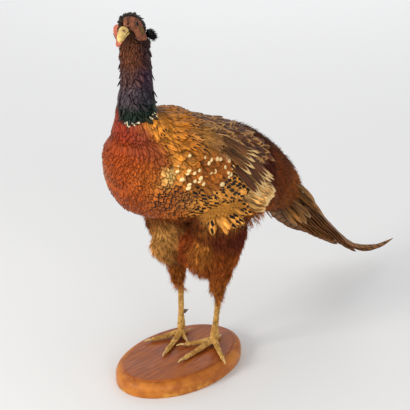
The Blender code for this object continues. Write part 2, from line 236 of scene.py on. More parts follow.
def put_attribute(mesh, name, kind, values):
    attribute = mesh.attributes.new(name, kind, "POINT")
    field = {"FLOAT": "value", "FLOAT_VECTOR": "vector", "FLOAT_COLOR": "color"}[kind]
    attribute.data.foreach_set(field, np.asarray(values, np.float32).ravel())


def soft_step(low, high, value):
    t = np.clip((value - low) / (high - low), 0, 1)
    return t * t * (3 - 2 * t)


def along_skin(ways, normals):
    """The directions laid flat on the skin."""
    return unit(ways - (ways * normals).sum(1, keepdims=True) * normals)


def wander(points, scale, seed):
    """Smooth noise from -1 to 1 at each point."""
    shift = Vector((seed * 17.3, seed * 5.1, seed * 9.7))
    return np.array([noise.noise(Vector(p) * scale + shift) for p in points])


# ---------------------------------------------------------------- the head's frame

EYE_MIDDLE = (node_points("eye_left").mean(0) + node_points("eye_right").mean(0)) / 2
HEAD_X = unit(node_points("eye_left").mean(0) - node_points("eye_right").mean(0))
BEAK_POINTS = node_points("beak_upper")
BEAK_FAR = BEAK_POINTS[np.argmax(np.linalg.norm(BEAK_POINTS - EYE_MIDDLE, axis=1))]
BEAK_DROP = math.atan2(0.0165, 0.0370)  # how far the beak's tip lies below the level line
BEAK_WAY = unit(BEAK_FAR - EYE_MIDDLE - (BEAK_FAR - EYE_MIDDLE) @ HEAD_X * HEAD_X)
HEAD_Y = -(BEAK_WAY * math.cos(BEAK_DROP) + np.cross(HEAD_X, BEAK_WAY) * math.sin(-BEAK_DROP))
HEAD_Z = np.cross(HEAD_X, HEAD_Y)
if HEAD_Z[2] < 0:
    HEAD_Z = -HEAD_Z


def to_head(points):
    """Places in the head's own frame: X to the bird's left, -Y along the beak, Z up."""
    away = np.asarray(points) - EYE_MIDDLE
    return np.stack([away @ HEAD_X, away @ HEAD_Y, away @ HEAD_Z], axis=-1)


def from_head(x, y, z):
    return EYE_MIDDLE + HEAD_X * x + HEAD_Y * y + HEAD_Z * z


# ---------------------------------------------------------------- plumage

# The body's plumage: a name, the coat that grows there, the side (0 both, 1 left, -1 right),
# the place (distance from the middle plane, y, z), the spread, the colour and how strong its
# marks are.
BODY_COLOURS = (
    ("throat_red", "breast", 0, (0.000, -0.127, 0.395), 0.026, (0.240, 0.022, 0.007), 0.3),
    ("breast_copper", "breast", 0, (0.000, -0.124, 0.352), 0.034, (0.360, 0.056, 0.003), 0.4),
    ("breast_orange", "breast", 0, (0.000, -0.112, 0.302), 0.034, (0.317, 0.057, 0.005), 0.6),
    ("breast_side", "breast", 0, (0.036, -0.112, 0.338), 0.022, (0.400, 0.090, 0.010), 0.8),
    ("breast_low", "breast", 0, (0.012, -0.086, 0.268), 0.026, (0.400, 0.080, 0.008), 0.8),
    ("maroon_band", "breast", 0, (0.026, -0.103, 0.381), 0.016, (0.229, 0.040, 0.017), 0.3),
    ("maroon_side", "breast", 0, (0.043, -0.092, 0.366), 0.014, (0.282, 0.058, 0.015), 0.6),
    ("maroon_front", "breast", 0, (0.000, -0.124, 0.378), 0.014, (0.258, 0.035, 0.006), 0.3),
    ("scallop_top", "scallop", 0, (0.050, -0.094, 0.330), 0.018, (0.509, 0.173, 0.022), 1.0),
    ("scallop_gold", "scallop", 0, (0.049, -0.092, 0.302), 0.022, (0.354, 0.091, 0.013), 1.0),
    ("scallop_low", "scallop", 0, (0.040, -0.066, 0.262), 0.024, (0.520, 0.135, 0.018), 1.0),
    ("scallop_rear", "scallop", 0, (0.062, -0.062, 0.290), 0.018, (0.383, 0.136, 0.026), 1.0),
    # breast_highlight: a pale patch on the left breast side, a painted highlight.
    ("breast_highlight", "scallop", 1, (0.056, -0.090, 0.338), 0.011, (0.850, 0.600, 0.190), 0.2),
    ("flank_gold", "flank", 0, (0.073, -0.036, 0.284), 0.026, (0.640, 0.270, 0.042), 1.0),
    ("flank_low", "flank", 0, (0.062, -0.022, 0.256), 0.020, (0.640, 0.270, 0.046), 1.0),
    ("flank_rear", "flank", 0, (0.080, 0.020, 0.272), 0.024, (0.680, 0.290, 0.048), 1.0),
    ("flank_end", "flank", 0, (0.084, 0.046, 0.276), 0.018, (0.640, 0.250, 0.035), 0.9),
    ("flank_spread", "flank", 0, (0.087, 0.002, 0.312), 0.018, (0.560, 0.220, 0.028), 0.8),
    ("belly", "thigh", 0, (0.000, -0.035, 0.245), 0.036, (0.223, 0.054, 0.011), 0.5),
    ("nape_olive", "mantle", 0, (0.008, -0.048, 0.414), 0.018, (0.200, 0.080, 0.014), 0.8),
    ("mantle_side", "mantle", 0, (0.036, -0.064, 0.398), 0.022, (0.780, 0.285, 0.031), 1.0),
    ("mantle_gold", "mantle", 0, (0.050, -0.046, 0.382), 0.024, (0.430, 0.131, 0.009), 1.0),
    ("mantle_low", "mantle", 0, (0.050, -0.074, 0.372), 0.014, (0.581, 0.212, 0.024), 1.0),
    ("mantle_top", "mantle", 0, (0.022, -0.022, 0.402), 0.024, (0.460, 0.165, 0.018), 0.9),
    ("shoulder_grey", "tuft", 0, (0.060, -0.024, 0.378), 0.017, (0.632, 0.310, 0.081), 0.3),
    ("shoulder_rear", "tuft", 0, (0.074, -0.006, 0.358), 0.014, (0.703, 0.354, 0.135), 0.3),
    ("covert_front", "wing", 0, (0.064, -0.068, 0.354), 0.018, (0.500, 0.185, 0.024), 0.9),
    ("covert_gold", "wing", 0, (0.078, -0.044, 0.340), 0.022, (0.360, 0.100, 0.008), 1.0),
    ("flank_front", "flank", 0, (0.076, -0.050, 0.312), 0.013, (0.354, 0.118, 0.014), 1.0),
    ("covert_rear", "wing", 0, (0.086, -0.010, 0.335), 0.018, (0.330, 0.085, 0.008), 1.0),
    ("scapular", "back", 0, (0.052, 0.040, 0.357), 0.026, (0.150, 0.048, 0.012), 1.0),
    ("back_front", "back", 0, (0.028, 0.018, 0.384), 0.028, (0.115, 0.038, 0.009), 0.9),
    ("back_top", "back", 0, (0.010, 0.070, 0.368), 0.036, (0.095, 0.030, 0.007), 0.8),
    ("back_rear", "back", 0, (0.050, 0.096, 0.328), 0.028, (0.105, 0.028, 0.006), 1.0),
    ("back_end", "rump", 0, (0.010, 0.130, 0.332), 0.032, (0.100, 0.028, 0.006), 0.6),
    ("rump_maroon", "rump", 0, (0.066, 0.112, 0.296), 0.024, (0.120, 0.020, 0.008), 0.5),
    ("rump", "rump", 0, (0.056, 0.150, 0.272), 0.030, (0.270, 0.062, 0.009), 0.5),
    ("rump_top", "rump", 0, (0.010, 0.185, 0.288), 0.036, (0.130, 0.032, 0.006), 0.5),
    ("rump_side", "rump", 0, (0.045, 0.200, 0.228), 0.030, (0.390, 0.108, 0.016), 0.5),
    ("tail_cover", "rump", 0, (0.010, 0.248, 0.200), 0.030, (0.295, 0.128, 0.034), 0.5),
    ("wing_end", "rump", 0, (0.080, 0.086, 0.268), 0.016, (0.260, 0.064, 0.009), 0.5),
    ("vent", "thigh", 0, (0.020, 0.130, 0.215), 0.040, (0.340, 0.090, 0.012), 0.5),
    ("vent_side", "thigh", 0, (0.072, 0.074, 0.244), 0.018, (0.480, 0.130, 0.016), 0.5),
    ("under_tail", "rump", 0, (0.000, 0.210, 0.185), 0.030, (0.120, 0.050, 0.016), 0.5),
    ("thigh_top", "thigh", 0, (0.074, 0.008, 0.224), 0.020, (0.190, 0.038, 0.012), 0.5),
    ("thigh_gold", "thigh", 1, (0.048, -0.004, 0.203), 0.010, (0.560, 0.200, 0.032), 0.5),
    ("thigh_purple", "thigh", 1, (0.080, 0.034, 0.224), 0.018, (0.160, 0.024, 0.012), 0.5),
    ("thigh_inner", "thigh", 1, (0.010, 0.020, 0.200), 0.018, (0.340, 0.064, 0.010), 0.5),
    ("thigh_buff", "thigh", -1, (0.042, 0.000, 0.192), 0.022, (0.680, 0.330, 0.085), 0.5),
    ("thigh_dark", "thigh", -1, (0.020, 0.022, 0.168), 0.018, (0.200, 0.075, 0.014), 0.5),
    ("thigh", "thigh", 0, (0.062, 0.028, 0.170), 0.030, (0.430, 0.105, 0.014), 0.5),
    ("thigh_low", "thigh", 0, (0.045, 0.038, 0.125), 0.030, (0.460, 0.140, 0.022), 0.5),
)
# The same for the neck and head, from the base up.
NECK_COLOURS = (
    ("base_green", "neck", 0, (0.016, -0.110, 0.408), 0.020, (0.012, 0.022, 0.016), 0.5),
    ("base_dark", "neck", 0, (0.030, -0.085, 0.412), 0.018, (0.008, 0.018, 0.011), 0.5),
    ("base_back", "neck", 0, (0.010, -0.055, 0.420), 0.020, (0.012, 0.018, 0.012), 0.5),
    ("slate_blue", "neck", 0, (0.014, -0.104, 0.440), 0.016, (0.082, 0.057, 0.070), 0.5),
    ("blue_side", "neck", 0, (0.025, -0.085, 0.440), 0.014, (0.028, 0.025, 0.036), 0.5),
    ("back_violet", "neck", 0, (0.008, -0.060, 0.450), 0.020, (0.040, 0.020, 0.034), 0.5),
    ("purple_front", "neck", 0, (0.010, -0.102, 0.462), 0.015, (0.095, 0.041, 0.035), 0.5),
    ("purple_side", "neck", 0, (0.022, -0.082, 0.462), 0.014, (0.048, 0.022, 0.042), 0.5),
    ("rust_front", "neck", 0, (0.008, -0.104, 0.486), 0.016, (0.123, 0.037, 0.015), 0.5),
    ("rust_side", "neck", 0, (0.022, -0.082, 0.484), 0.014, (0.052, 0.020, 0.022), 0.5),
    ("nape", "neck", 0, (0.004, -0.064, 0.490), 0.018, (0.045, 0.018, 0.018), 0.5),
    ("chin", "neck", 0, (0.008, -0.108, 0.504), 0.010, (0.060, 0.018, 0.007), 0.5),
    ("crown", "neck", 0, (0.004, -0.090, 0.538), 0.014, (0.030, 0.015, 0.008), 0.5),
    ("face_edge", "neck", 0, (0.020, -0.080, 0.512), 0.010, (0.020, 0.010, 0.008), 0.5),
)
# The lie of the coat: places and directions in which the feathers point, for both sides.
LIE = (
    ((0.000, -0.110, 0.500), (0.00, 0.10, -1.0)),
    ((0.000, -0.102, 0.450), (0.00, -0.08, -1.0)),
    ((0.022, -0.082, 0.450), (0.00, 0.00, -1.0)),
    ((0.000, -0.060, 0.450), (0.00, 0.08, -1.0)),
    ((0.000, -0.118, 0.400), (0.00, -0.20, -1.0)),
    ((0.032, -0.088, 0.404), (0.35, 0.10, -1.0)),
    ((0.000, -0.052, 0.415), (0.00, 0.70, -0.7)),
    ((0.000, -0.122, 0.350), (0.00, 0.10, -1.0)),
    ((0.000, -0.104, 0.290), (0.00, 0.60, -0.8)),
    ((0.000, -0.030, 0.245), (0.00, 1.00, -0.2)),
    ((0.000, 0.100, 0.220), (0.00, 1.00, -0.4)),
    ((0.050, -0.098, 0.340), (0.30, 0.55, -0.8)),
    ((0.050, -0.080, 0.280), (0.20, 0.80, -0.6)),
    ((0.080, -0.020, 0.310), (0.05, 0.78, -0.7)),
    ((0.078, 0.070, 0.280), (0.00, 0.75, -0.7)),
    ((0.042, -0.050, 0.392), (0.35, 0.75, -0.6)),
    ((0.000, -0.020, 0.404), (0.00, 1.00, -0.2)),
    ((0.060, 0.040, 0.356), (0.10, 0.88, -0.5)),
    ((0.000, 0.080, 0.360), (0.00, 0.93, -0.4)),
    ((0.000, 0.180, 0.290), (0.00, 0.82, -0.6)),
    ((0.052, 0.170, 0.262), (0.00, 0.78, -0.7)),
    ((0.000, 0.250, 0.200), (0.00, 0.75, -0.7)),
    ((0.085, 0.020, 0.230), (0.00, 0.40, -0.9)),
    ((0.060, 0.030, 0.175), (-0.1, 0.20, -1.0)),
    ((0.042, 0.040, 0.120), (0.00, 0.05, -1.0)),
)
COLLAR_FRONT = 0.402  # the height where the dark neck ends at the front
COLLAR_BACK = 0.414
HEAD_LEVEL, NECK_LEVEL = 0.50, 0.43  # the heights above which the lie changes within less space


def weights_to(places, centres, spreads):
    """How much each centre counts at each place, adding up to one."""
    gaps = np.linalg.norm(places[:, None, :] - centres[None, :, :], axis=2) / spreads
    near = np.exp(-gaps ** 2 * 1.6) + 1e-3 / (1 + gaps ** 4)
    return near / near.sum(1, keepdims=True)


def table_weights(table, places):
    """How much each row of a plumage table counts at each place."""
    folded = places.copy()
    folded[:, 0] = np.abs(folded[:, 0])
    centres = np.array([row[3] for row in table])
    spreads = np.array([row[4] for row in table])
    sides = np.array([row[2] for row in table])
    weights = weights_to(folded, centres, spreads)
    wrong_side = (sides[None, :] != 0) & (sides[None, :] * places[:, :1] < 0)
    weights = np.where(wrong_side, 0, weights)
    return weights / weights.sum(1, keepdims=True)


def lie_of(places, normals):
    """The direction of the feathers, along the skin."""
    rows = [(np.array(p), np.array(d)) for p, d in LIE]
    rows += [(p * (-1, 1, 1), d * (-1, 1, 1)) for p, d in rows if p[0] > 0]
    back = HEAD_Y
    rows += [(from_head(0.0, 0.006, 0.018), back), (from_head(0.016, 0.004, 0.0), back),
             (from_head(-0.016, 0.004, 0.0), back), (from_head(0, -0.014, 0.006), back + HEAD_Z),
             (from_head(0.0, 0.026, 0.0), back - HEAD_Z), (from_head(0, -0.010, -0.014),
                                                          back - 0.6 * HEAD_Z)]
    centres = np.array([p for p, d in rows])
    ways = unit(np.array([d for p, d in rows]))
    spreads = np.where(centres[:, 2] > HEAD_LEVEL, 0.014,
                       np.where(centres[:, 2] > NECK_LEVEL, 0.022, 0.034))
    return along_skin(weights_to(places, centres, spreads) @ ways, normals)


def neck_edge(places):
    """The height of the dark neck's lower edge at each place."""
    x, y, _ = places.T
    edge = COLLAR_FRONT + (COLLAR_BACK - COLLAR_FRONT) * soft_step(-0.11, -0.06, y)
    edge = edge + 1.1 * np.clip(0.006 - x, 0, 0.022) * soft_step(-0.075, -0.10, y)
    return edge + 0.0025 * wander(places, 90, 3)


def neck_share(places):
    """1 on the dark neck and head, 0 on the body, with a sharp edge at the neck's base."""
    return soft_step(-0.0015, 0.0015, places[:, 2] - neck_edge(places))


# The bare red skin's outline on the side of the head, in the head's own y and z.
FACE_OUTLINE = (
    (-0.0142, 0.0028), (-0.0130, 0.0080), (-0.0090, 0.0118), (-0.0025, 0.0135),
    (0.0030, 0.0122), (0.0062, 0.0082), (0.0082, 0.0020), (0.0108, -0.0048),
    (0.0140, -0.0105), (0.0142, -0.0165), (0.0090, -0.0200), (0.0020, -0.0192),
    (-0.0018, -0.0160), (-0.0032, -0.0110), (-0.0056, -0.0068), (-0.0092, -0.0038),
    (-0.0125, -0.0010),
)


def inside_face(y, z):
    """Whether points in the head's own y and z lie within the bare skin's outline."""
    inside = np.zeros(len(y), bool)
    for (y1, z1), (y2, z2) in zip(FACE_OUTLINE, FACE_OUTLINE[1:] + FACE_OUTLINE[:1]):
        crosses = (z1 > z) != (z2 > z)
        inside ^= crosses & (y < (y2 - y1) * (z - z1) / (z2 - z1 + 1e-12) + y1)
    return inside


def face_share(places):
    """1 where the head's sides are bare skin."""
    x, y, z = to_head(places).T
    return (inside_face(y, z) & (np.abs(x) > 0.0035)) * 1.0


BODY_COATS = ("breast", "scallop", "flank", "wing", "mantle", "tuft", "back", "rump", "thigh")


def coat_fields(places):
    """Every value that the coat needs at the skin's points."""
    stray = np.stack([wander(places, 28, s) for s in (1, 2, 5)], 1)
    fine = np.stack([wander(places, 70, s) for s in (3, 4, 6)], 1)
    neck = neck_share(places)
    body_rows = table_weights(BODY_COLOURS, places + 0.006 * stray)
    neck_rows = table_weights(NECK_COLOURS, places + 0.0035 * stray)
    body = body_rows @ np.array([row[5] for row in BODY_COLOURS])
    dark = neck_rows @ np.array([row[5] for row in NECK_COLOURS])
    colours = body * (1 - neck[:, None]) + dark * neck[:, None]
    x, y, z = places.T
    head = soft_step(0.494, 0.500, z - 0.12 * (y + 0.088))
    bare = face_share(places)
    trunk = neck < 0.5
    hx, hy, hz = to_head(places).T
    crown = (hz > 0.0100) & (np.abs(hx) < 0.0105) & (bare < 0.5) & (hy > -0.013)
    fields = {"on_head": head * (1 - bare), "on_neck": neck * (1 - head), "on_crown": crown * 1.0}
    coat_rows = table_weights(BODY_COLOURS, places + 0.003 * stray + 0.003 * fine)
    counts = np.stack([coat_rows[:, [k for k, row in enumerate(BODY_COLOURS) if row[1] == coat]]
                       .sum(1) for coat in BODY_COATS], 1)
    chosen = counts.argmax(1)
    for k, coat in enumerate(BODY_COATS):
        fields[f"on_{coat}"] = ((chosen == k) & trunk) * 1.0
    fields["marking"] = body_rows @ np.array([row[6] for row in BODY_COLOURS])
    edge = neck_edge(places)
    broken = wander(places, 150, 9) + 0.35 * wander(places, 60, 2)
    left_front = soft_step(-0.070, -0.080, y) * soft_step(-0.004, 0.004, x)
    fields["on_collar"] = ((np.abs(z - edge) < 0.0028) & (broken > 0.06)) * left_front
    return colours, fields


# ---------------------------------------------------------------- the skin

def coat_depth(places):
    """How far the skin lies inside the coat's outline."""
    z = places[:, 2]
    depth = 0.0032 - 0.0012 * soft_step(0.40, 0.43, z) - 0.0008 * soft_step(0.49, 0.51, z)
    return depth + 0.0012 * soft_step(0.22, 0.18, z) * (1 - soft_step(0.14, 0.12, z))


# Where the plumage stands fuller than the flesh: centres and half sizes of smooth swellings.
SWELLINGS = (
    ((0.036, 0.022, 0.184), (0.034, 0.036, 0.036)),
    ((-0.030, 0.020, 0.184), (0.030, 0.034, 0.032)),
    ((0.004, 0.024, 0.186), (0.034, 0.034, 0.026)),
    ((-0.004, -0.098, 0.342), (0.040, 0.0250, 0.046)),
    ((0.072, 0.060, 0.240), (0.014, 0.034, 0.014)),
)


def make_skin():
    whole = welded_copy(FLESH, "flesh", SKIN_CLOSE)
    body = bmesh.new()
    body.from_mesh(whole.data)
    for centre, half in SWELLINGS:
        place = Matrix.Translation(Vector(centre)) @ Matrix.Diagonal((*half, 1))
        bmesh.ops.create_icosphere(body, subdivisions=4, radius=1.0, matrix=place)
    body.to_mesh(whole.data)
    body.free()
    skin = remeshed_from(whole, "skin", SKIN_VOXEL, 8)
    places, normals = mesh_arrays(skin.data)
    places = places - normals * (coat_depth(places) + SKIN_CLOSE)[:, None]
    move_points(skin.data, places)
    skin.data.update()
    unwrap(skin)
    places, normals = mesh_arrays(skin.data)
    colours, fields = coat_fields(places)
    put_attribute(skin.data, "plumage", "FLOAT_COLOR", np.c_[colours, np.ones(len(colours))])
    put_attribute(skin.data, "lie", "FLOAT_VECTOR", lie_of(places, normals))
    for name, values in fields.items():
        put_attribute(skin.data, name, "FLOAT", values)
    return skin


# ---------------------------------------------------------------- shader tools

def shader_group(name, inputs, outputs):
    """An empty node group with named float, colour or vector sockets."""
    tree = bpy.data.node_groups.new(name, "ShaderNodeTree")
    for in_out, sockets in (("INPUT", inputs), ("OUTPUT", outputs)):
        for socket, (kind, value) in sockets.items():
            made = tree.interface.new_socket(
                socket, in_out=in_out, socket_type=f"NodeSocket{kind}")
            if value is not None:
                made.default_value = value
    tree.nodes.new("NodeGroupInput")
    tree.nodes.new("NodeGroupOutput")
    return tree


class Wiring:
    """Adds nodes to a tree and returns their outputs, so that a pattern reads as a formula."""

    def __init__(self, tree):
        self.tree = tree

    def feed(self, sockets, key, value):
        if isinstance(value, bpy.types.NodeSocket):
            self.tree.links.new(value, sockets[key])
        else:
            sockets[key].default_value = value

    def node(self, kind, inputs=None, output=0, **settings):
        made = self.tree.nodes.new(kind)
        for key, value in settings.items():
            setattr(made, key, value)
        for key, value in (inputs or {}).items():
            self.feed(made.inputs, key, value)
        return made.outputs[output]

    def math(self, operation, *values):
        return self.node("ShaderNodeMath", dict(enumerate(values)), operation=operation)

    def add(self, first, second):
        return self.math("ADD", first, second)

    def less(self, first, second):
        return self.math("SUBTRACT", first, second)

    def times(self, first, second):
        return self.math("MULTIPLY", first, second)

    def over(self, first, second):
        return self.math("DIVIDE", first, second)

    def ramp(self, value, low, high, to_low=0.0, to_high=1.0):
        """A smooth step from low to high."""
        return self.node("ShaderNodeMapRange",
                         {"Value": value, "From Min": low, "From Max": high,
                          "To Min": to_low, "To Max": to_high}, interpolation_type="SMOOTHSTEP")

    def mix(self, factor, first, second, blend="MIX"):
        made = self.tree.nodes.new("ShaderNodeMix")
        made.data_type = "RGBA"
        made.blend_type = blend
        self.feed(made.inputs, 0, factor)
        for key, colour in ((6, first), (7, second)):
            self.feed(made.inputs, key, (*colour, 1) if isinstance(colour, tuple) else colour)
        return made.outputs[2]

    def shaded(self, colour, light):
        """The colour times a brightness."""
        grey = self.node("ShaderNodeCombineColor", {"Red": light, "Green": light, "Blue": light})
        return self.mix(1.0, colour, grey, "MULTIPLY")

    def noise(self, vector, scale, detail=3.0, rough=0.6):
        return self.node("ShaderNodeTexNoise", {"Vector": vector, "Scale": scale,
                                                "Detail": detail, "Roughness": rough}, "Fac")

    def place(self):
        """The place on the object."""
        return self.node("ShaderNodeTexCoord", {}, "Object")

    def split(self, vector):
        made = self.tree.nodes.new("ShaderNodeSeparateXYZ")
        self.tree.links.new(vector, made.inputs[0])
        return made.outputs

    def attribute(self, name, output="Fac"):
        return self.node("ShaderNodeAttribute", {}, output, attribute_name=name)

    def group(self, tree, inputs):
        made = self.tree.nodes.new("ShaderNodeGroup")
        made.node_tree = tree
        for key, value in inputs.items():
            self.feed(made.inputs, key, value)
        return made.outputs


def new_finish(name, **constants):
    """A Principled material: its wiring, its shader's inputs, and the material."""
    material = bpy.data.materials.new(name)
    material.use_nodes = True
    shader = material.node_tree.nodes["Principled BSDF"]
    for key, value in constants.items():
        shader.inputs[key.replace("_", " ")].default_value = value
    return Wiring(material.node_tree), shader.inputs, material


def connect(wiring, output, socket):
    wiring.tree.links.new(output, socket)


def add_bump(wiring, height, strength, distance, socket):
    bump = wiring.node("ShaderNodeBump", {"Height": height, "Strength": strength,
                                          "Distance": distance})
    connect(wiring, bump, socket)


def make_vane_group():
    """Marks on one feather from its own map: x runs across it and y from root to tip."""
    tree = shader_group(
        "vane_marks", {"Vane": ("Vector", None), "Shade": ("Float", 0.5)},
        {mark: ("Float", None) for mark in ("Rim", "Diamond", "Comma", "Dash", "Tick", "Arc",
                                            "Shaft", "Barbs", "Depth", "Streak")})
    w = Wiring(tree)
    source = tree.nodes["Group Input"].outputs
    sink = tree.nodes["Group Output"].inputs
    across, along, _ = w.split(source["Vane"])
    wobble = w.times(w.less(source["Shade"], 0.5), 0.10)
    place = w.add(along, wobble)
    aside = w.math("ABSOLUTE", w.less(w.times(across, 2.0), 1.0))
    lean = w.times(w.less(across, 0.5), 0.24)
    high = w.math("MAXIMUM", w.over(w.less(along, 0.50), 0.50), 0.0)
    round_edge = w.math("SQRT", w.add(w.times(high, high),
                                       w.times(w.times(aside, aside),
                                              0.55)))
    connect(w, w.ramp(round_edge, 0.62, 0.74), sink["Rim"])
    slid = w.add(place, lean)
    nearest = w.math("MINIMUM", *(w.math("ABSOLUTE", w.less(slid, at))
                                  for at in (0.78, 0.36)))
    diamond = w.add(w.over(aside, 0.58), w.over(nearest, 0.22))
    connect(w, w.ramp(diamond, 1.10, 0.85), sink["Diamond"])
    oval = w.add(w.math("POWER", w.over(aside, 0.62), 2.0),
                  w.math("POWER", w.over(w.less(place, 0.83), 0.14), 2.0))
    connect(w, w.ramp(oval, 1.25, 0.75), sink["Comma"])
    dash = w.add(w.over(aside, 0.50), w.over(w.math(
        "ABSOLUTE", w.less(place, 0.80)), 0.20))
    connect(w, w.ramp(dash, 1.10, 0.80), sink["Dash"])
    tick = w.add(w.times(w.over(aside, 0.62), 0.7),
                  w.over(w.less(1.0, place), 0.16))
    connect(w, w.ramp(tick, 1.05, 0.75), sink["Tick"])
    loop = w.math("ABSOLUTE", w.less(round_edge, 0.62))
    arc = w.math("MAXIMUM", w.ramp(loop, 0.15, 0.07),
                 w.times(w.ramp(aside, 0.20, 0.08), w.ramp(along, 0.3, 0.5)))
    connect(w, arc, sink["Arc"])
    connect(w, w.ramp(aside, 0.10, 0.03), sink["Shaft"])
    slant = w.less(w.times(along, 95.0), w.times(aside, 22.0))
    connect(w, w.math("SINE", slant), sink["Barbs"])
    # Depth runs from 0 at the root to 1 past the middle; it darkens the root as painted shade
    # under the overlapping feathers and as grey down.
    connect(w, w.ramp(along, 0.05, 0.62), sink["Depth"])
    stretched = w.node("ShaderNodeCombineXYZ", {
        "X": w.times(across, 9.0), "Y": w.times(along, 2.2),
        "Z": w.times(source["Shade"], 37.0)})
    connect(w, w.noise(stretched, 1.0, 2.0), sink["Streak"])
    return tree


def plumage_material(name, groups, rough, mark=None, tint=None, mark_colour=(0.010, 0.007, 0.005),
                     mark_strength=1.0, mark_share=1.0, rim=0.0,
                     rim_colour=(0.02, 0.012, 0.008), gloss=0.0, deep=0.45, streak=0.5,
                     vary=0.5):
    """A feather's finish: its place's plumage colour, its own random tone, painted shade and grey
    down towards its root, and its marks.
    """
    w, shader, material = new_finish(name, Roughness=rough, Metallic=gloss,
                                     Specular_IOR_Level=0.14)
    vane = w.node("ShaderNodeUVMap", {}, uv_map="vane")
    shade = w.attribute("shade")
    marks = w.group(groups["vane"], {"Vane": vane, "Shade": shade})
    base = tint or w.attribute("plumage", "Color")
    # Painted shade: each feather darkens towards its root to the share deep, for the shade of the
    # feathers over it and its grey down.
    light = w.times(w.ramp(marks["Depth"], 0, 1, deep, 1.0),
                   w.add(w.times(shade, vary), 1 - vary / 2))
    light = w.times(light, w.ramp(marks["Streak"], 0.3, 0.7, 1 - streak, 1 + streak))
    colour = w.shaded(base, light)
    strength = w.attribute("marking")
    if rim:
        mask = w.times(w.times(marks["Rim"], strength), rim)
        colour = w.mix(mask, colour, rim_colour)
    if mark:
        present = w.ramp(strength, 0.15, 0.75) if mark != "Tick" else strength
        mask = w.times(w.times(marks[mark], mark_strength), present)
        if mark_share < 1:
            chance = w.math("FRACT", w.times(shade, 7.31))
            mask = w.times(mask, w.math("LESS_THAN", chance, mark_share))
        colour = w.mix(mask, colour, mark_colour)
    connect(w, colour, shader["Base Color"])
    add_bump(w, w.add(marks["Barbs"], marks["Shaft"]), 0.25, 0.0002, shader["Normal"])
    return material


def skin_material():
    """Between the feathers the skin has the same colours, painted darker as shade between the
    feathers, with a downy grain.
    """
    w, shader, material = new_finish("skin_down", Roughness=0.9, Specular_IOR_Level=0.1)
    place = w.place()
    grain = w.noise(place, 420.0, 3.0)
    # Painted shade: the down between the feathers is darkened to between 42 and 78 per cent of the
    # plumage colour.
    dark = w.ramp(grain, 0.35, 0.65, 0.42, 0.78)
    connect(w, w.shaded(w.attribute("plumage", "Color"), dark), shader["Base Color"])
    add_bump(w, grain, 0.6, 0.0008, shader["Normal"])
    return material


# ---------------------------------------------------------------- feather shapes

VANE_WIDEST = 0.45  # how far along it a vane is widest
VANE_THICK = 0.02
PLUME_SAG = 0.10
PLUME_ROOTED = 0.45  # the part of a plume's length in which its barbs start


def outline_width(v, point):
    """A vane's half width as a share, root at 0 and tip at 1. A high point makes a round tip."""
    if v < VANE_WIDEST:
        return 1 - 0.85 * (1 - v / VANE_WIDEST) ** 2
    return max(0.0, 1 - ((v - VANE_WIDEST) / (1 - VANE_WIDEST)) ** point) ** 0.55


def vane_shape(name, rows, columns, point, roof=0.12, sag=0.10):
    """A closed thin vane, one long and one across: root at the origin, tip at +Y, top at +Z."""
    verts, places, rings = [], [], []
    for i in range(rows + 1):
        v = (i / rows) ** 0.85
        wide = 0.5 * outline_width(v, point)
        drop = -sag * v * v
        if i in (0, rows):
            rings.append([len(verts)])
            verts.append((0.0, v, drop))
            places.append((0.5, v))
            continue
        ring = []
        steps = [2 * k / columns - 1 for k in range(columns + 1)]
        for u in steps:
            ring.append(len(verts))
            verts.append((u * wide, v, drop - roof * u * u * wide + VANE_THICK * (1 - u * u)))
            places.append((0.5 + 0.5 * u, v))
        for u in steps[-2:0:-1]:
            ring.append(len(verts))
            verts.append((u * wide, v, drop - roof * u * u * wide - VANE_THICK * (1 - u * u)))
            places.append((0.5 + 0.5 * u, v))
        rings.append(ring)
    return template(name, verts, stitched(rings), places)


def plume_shape(name, barbs, spread, seed, thin=0.014, curl=0.10):
    """A loose tuft of hair-like barbs, each a closed three-sided spike."""
    chance = np.random.default_rng(seed)
    verts, faces, places = [], [], []
    for k in range(barbs):
        start = PLUME_ROOTED * chance.random() ** 1.3
        turn = math.radians(spread) * (2 * (k + 0.5) / barbs - 1) + chance.normal(0, 0.06)
        length = (1 - start) * (0.70 + 0.30 * chance.random()) * math.cos(turn)
        bend = curl * chance.normal()
        rise = 0.05 * chance.normal()
        u = 0.5 + 0.5 * (2 * (k + 0.5) / barbs - 1)
        first = len(verts)
        for share, size in ((0.0, 1.0), (0.5, 0.85)):
            centre = (math.sin(turn) * length * share + bend * share ** 2,
                      start + math.cos(turn) * length * share,
                      -PLUME_SAG * (start + length * share) ** 2 + rise * share)
            for corner in range(3):
                angle = 2 * math.pi * corner / 3 + math.pi / 2
                verts.append((centre[0] + thin * size * math.cos(angle), centre[1],
                              centre[2] + thin * size * math.sin(angle)))
                places.append((u, start + length * share))
        end = start + length
        verts.append((math.sin(turn) * length + bend, start + math.cos(turn) * length,
                      -PLUME_SAG * end ** 2 + rise))
        places.append((u, min(end, 1.0)))
        for corner in range(3):
            after = (corner + 1) % 3
            faces.append([first + corner, first + 3 + corner, first + 3 + after, first + after])
            faces.append([first + 3 + corner, first + 6, first + 3 + after])
        faces.append([first, first + 1, first + 2])
    return template(name, verts, faces, places)


def template(name, verts, faces, places):
    """A mesh that the coats repeat, with its own map named vane."""
    obj = mesh_object(name, verts, faces)
    face_outwards(obj.data)
    layer = obj.data.uv_layers.new(name="vane")
    for loop in obj.data.loops:
        layer.data[loop.index].uv = places[loop.vertex_index]
    return obj


# ---------------------------------------------------------------- the coat

SCATTER_TRIES = 6.0  # candidate roots for each spacing squared, from which the scatter picks


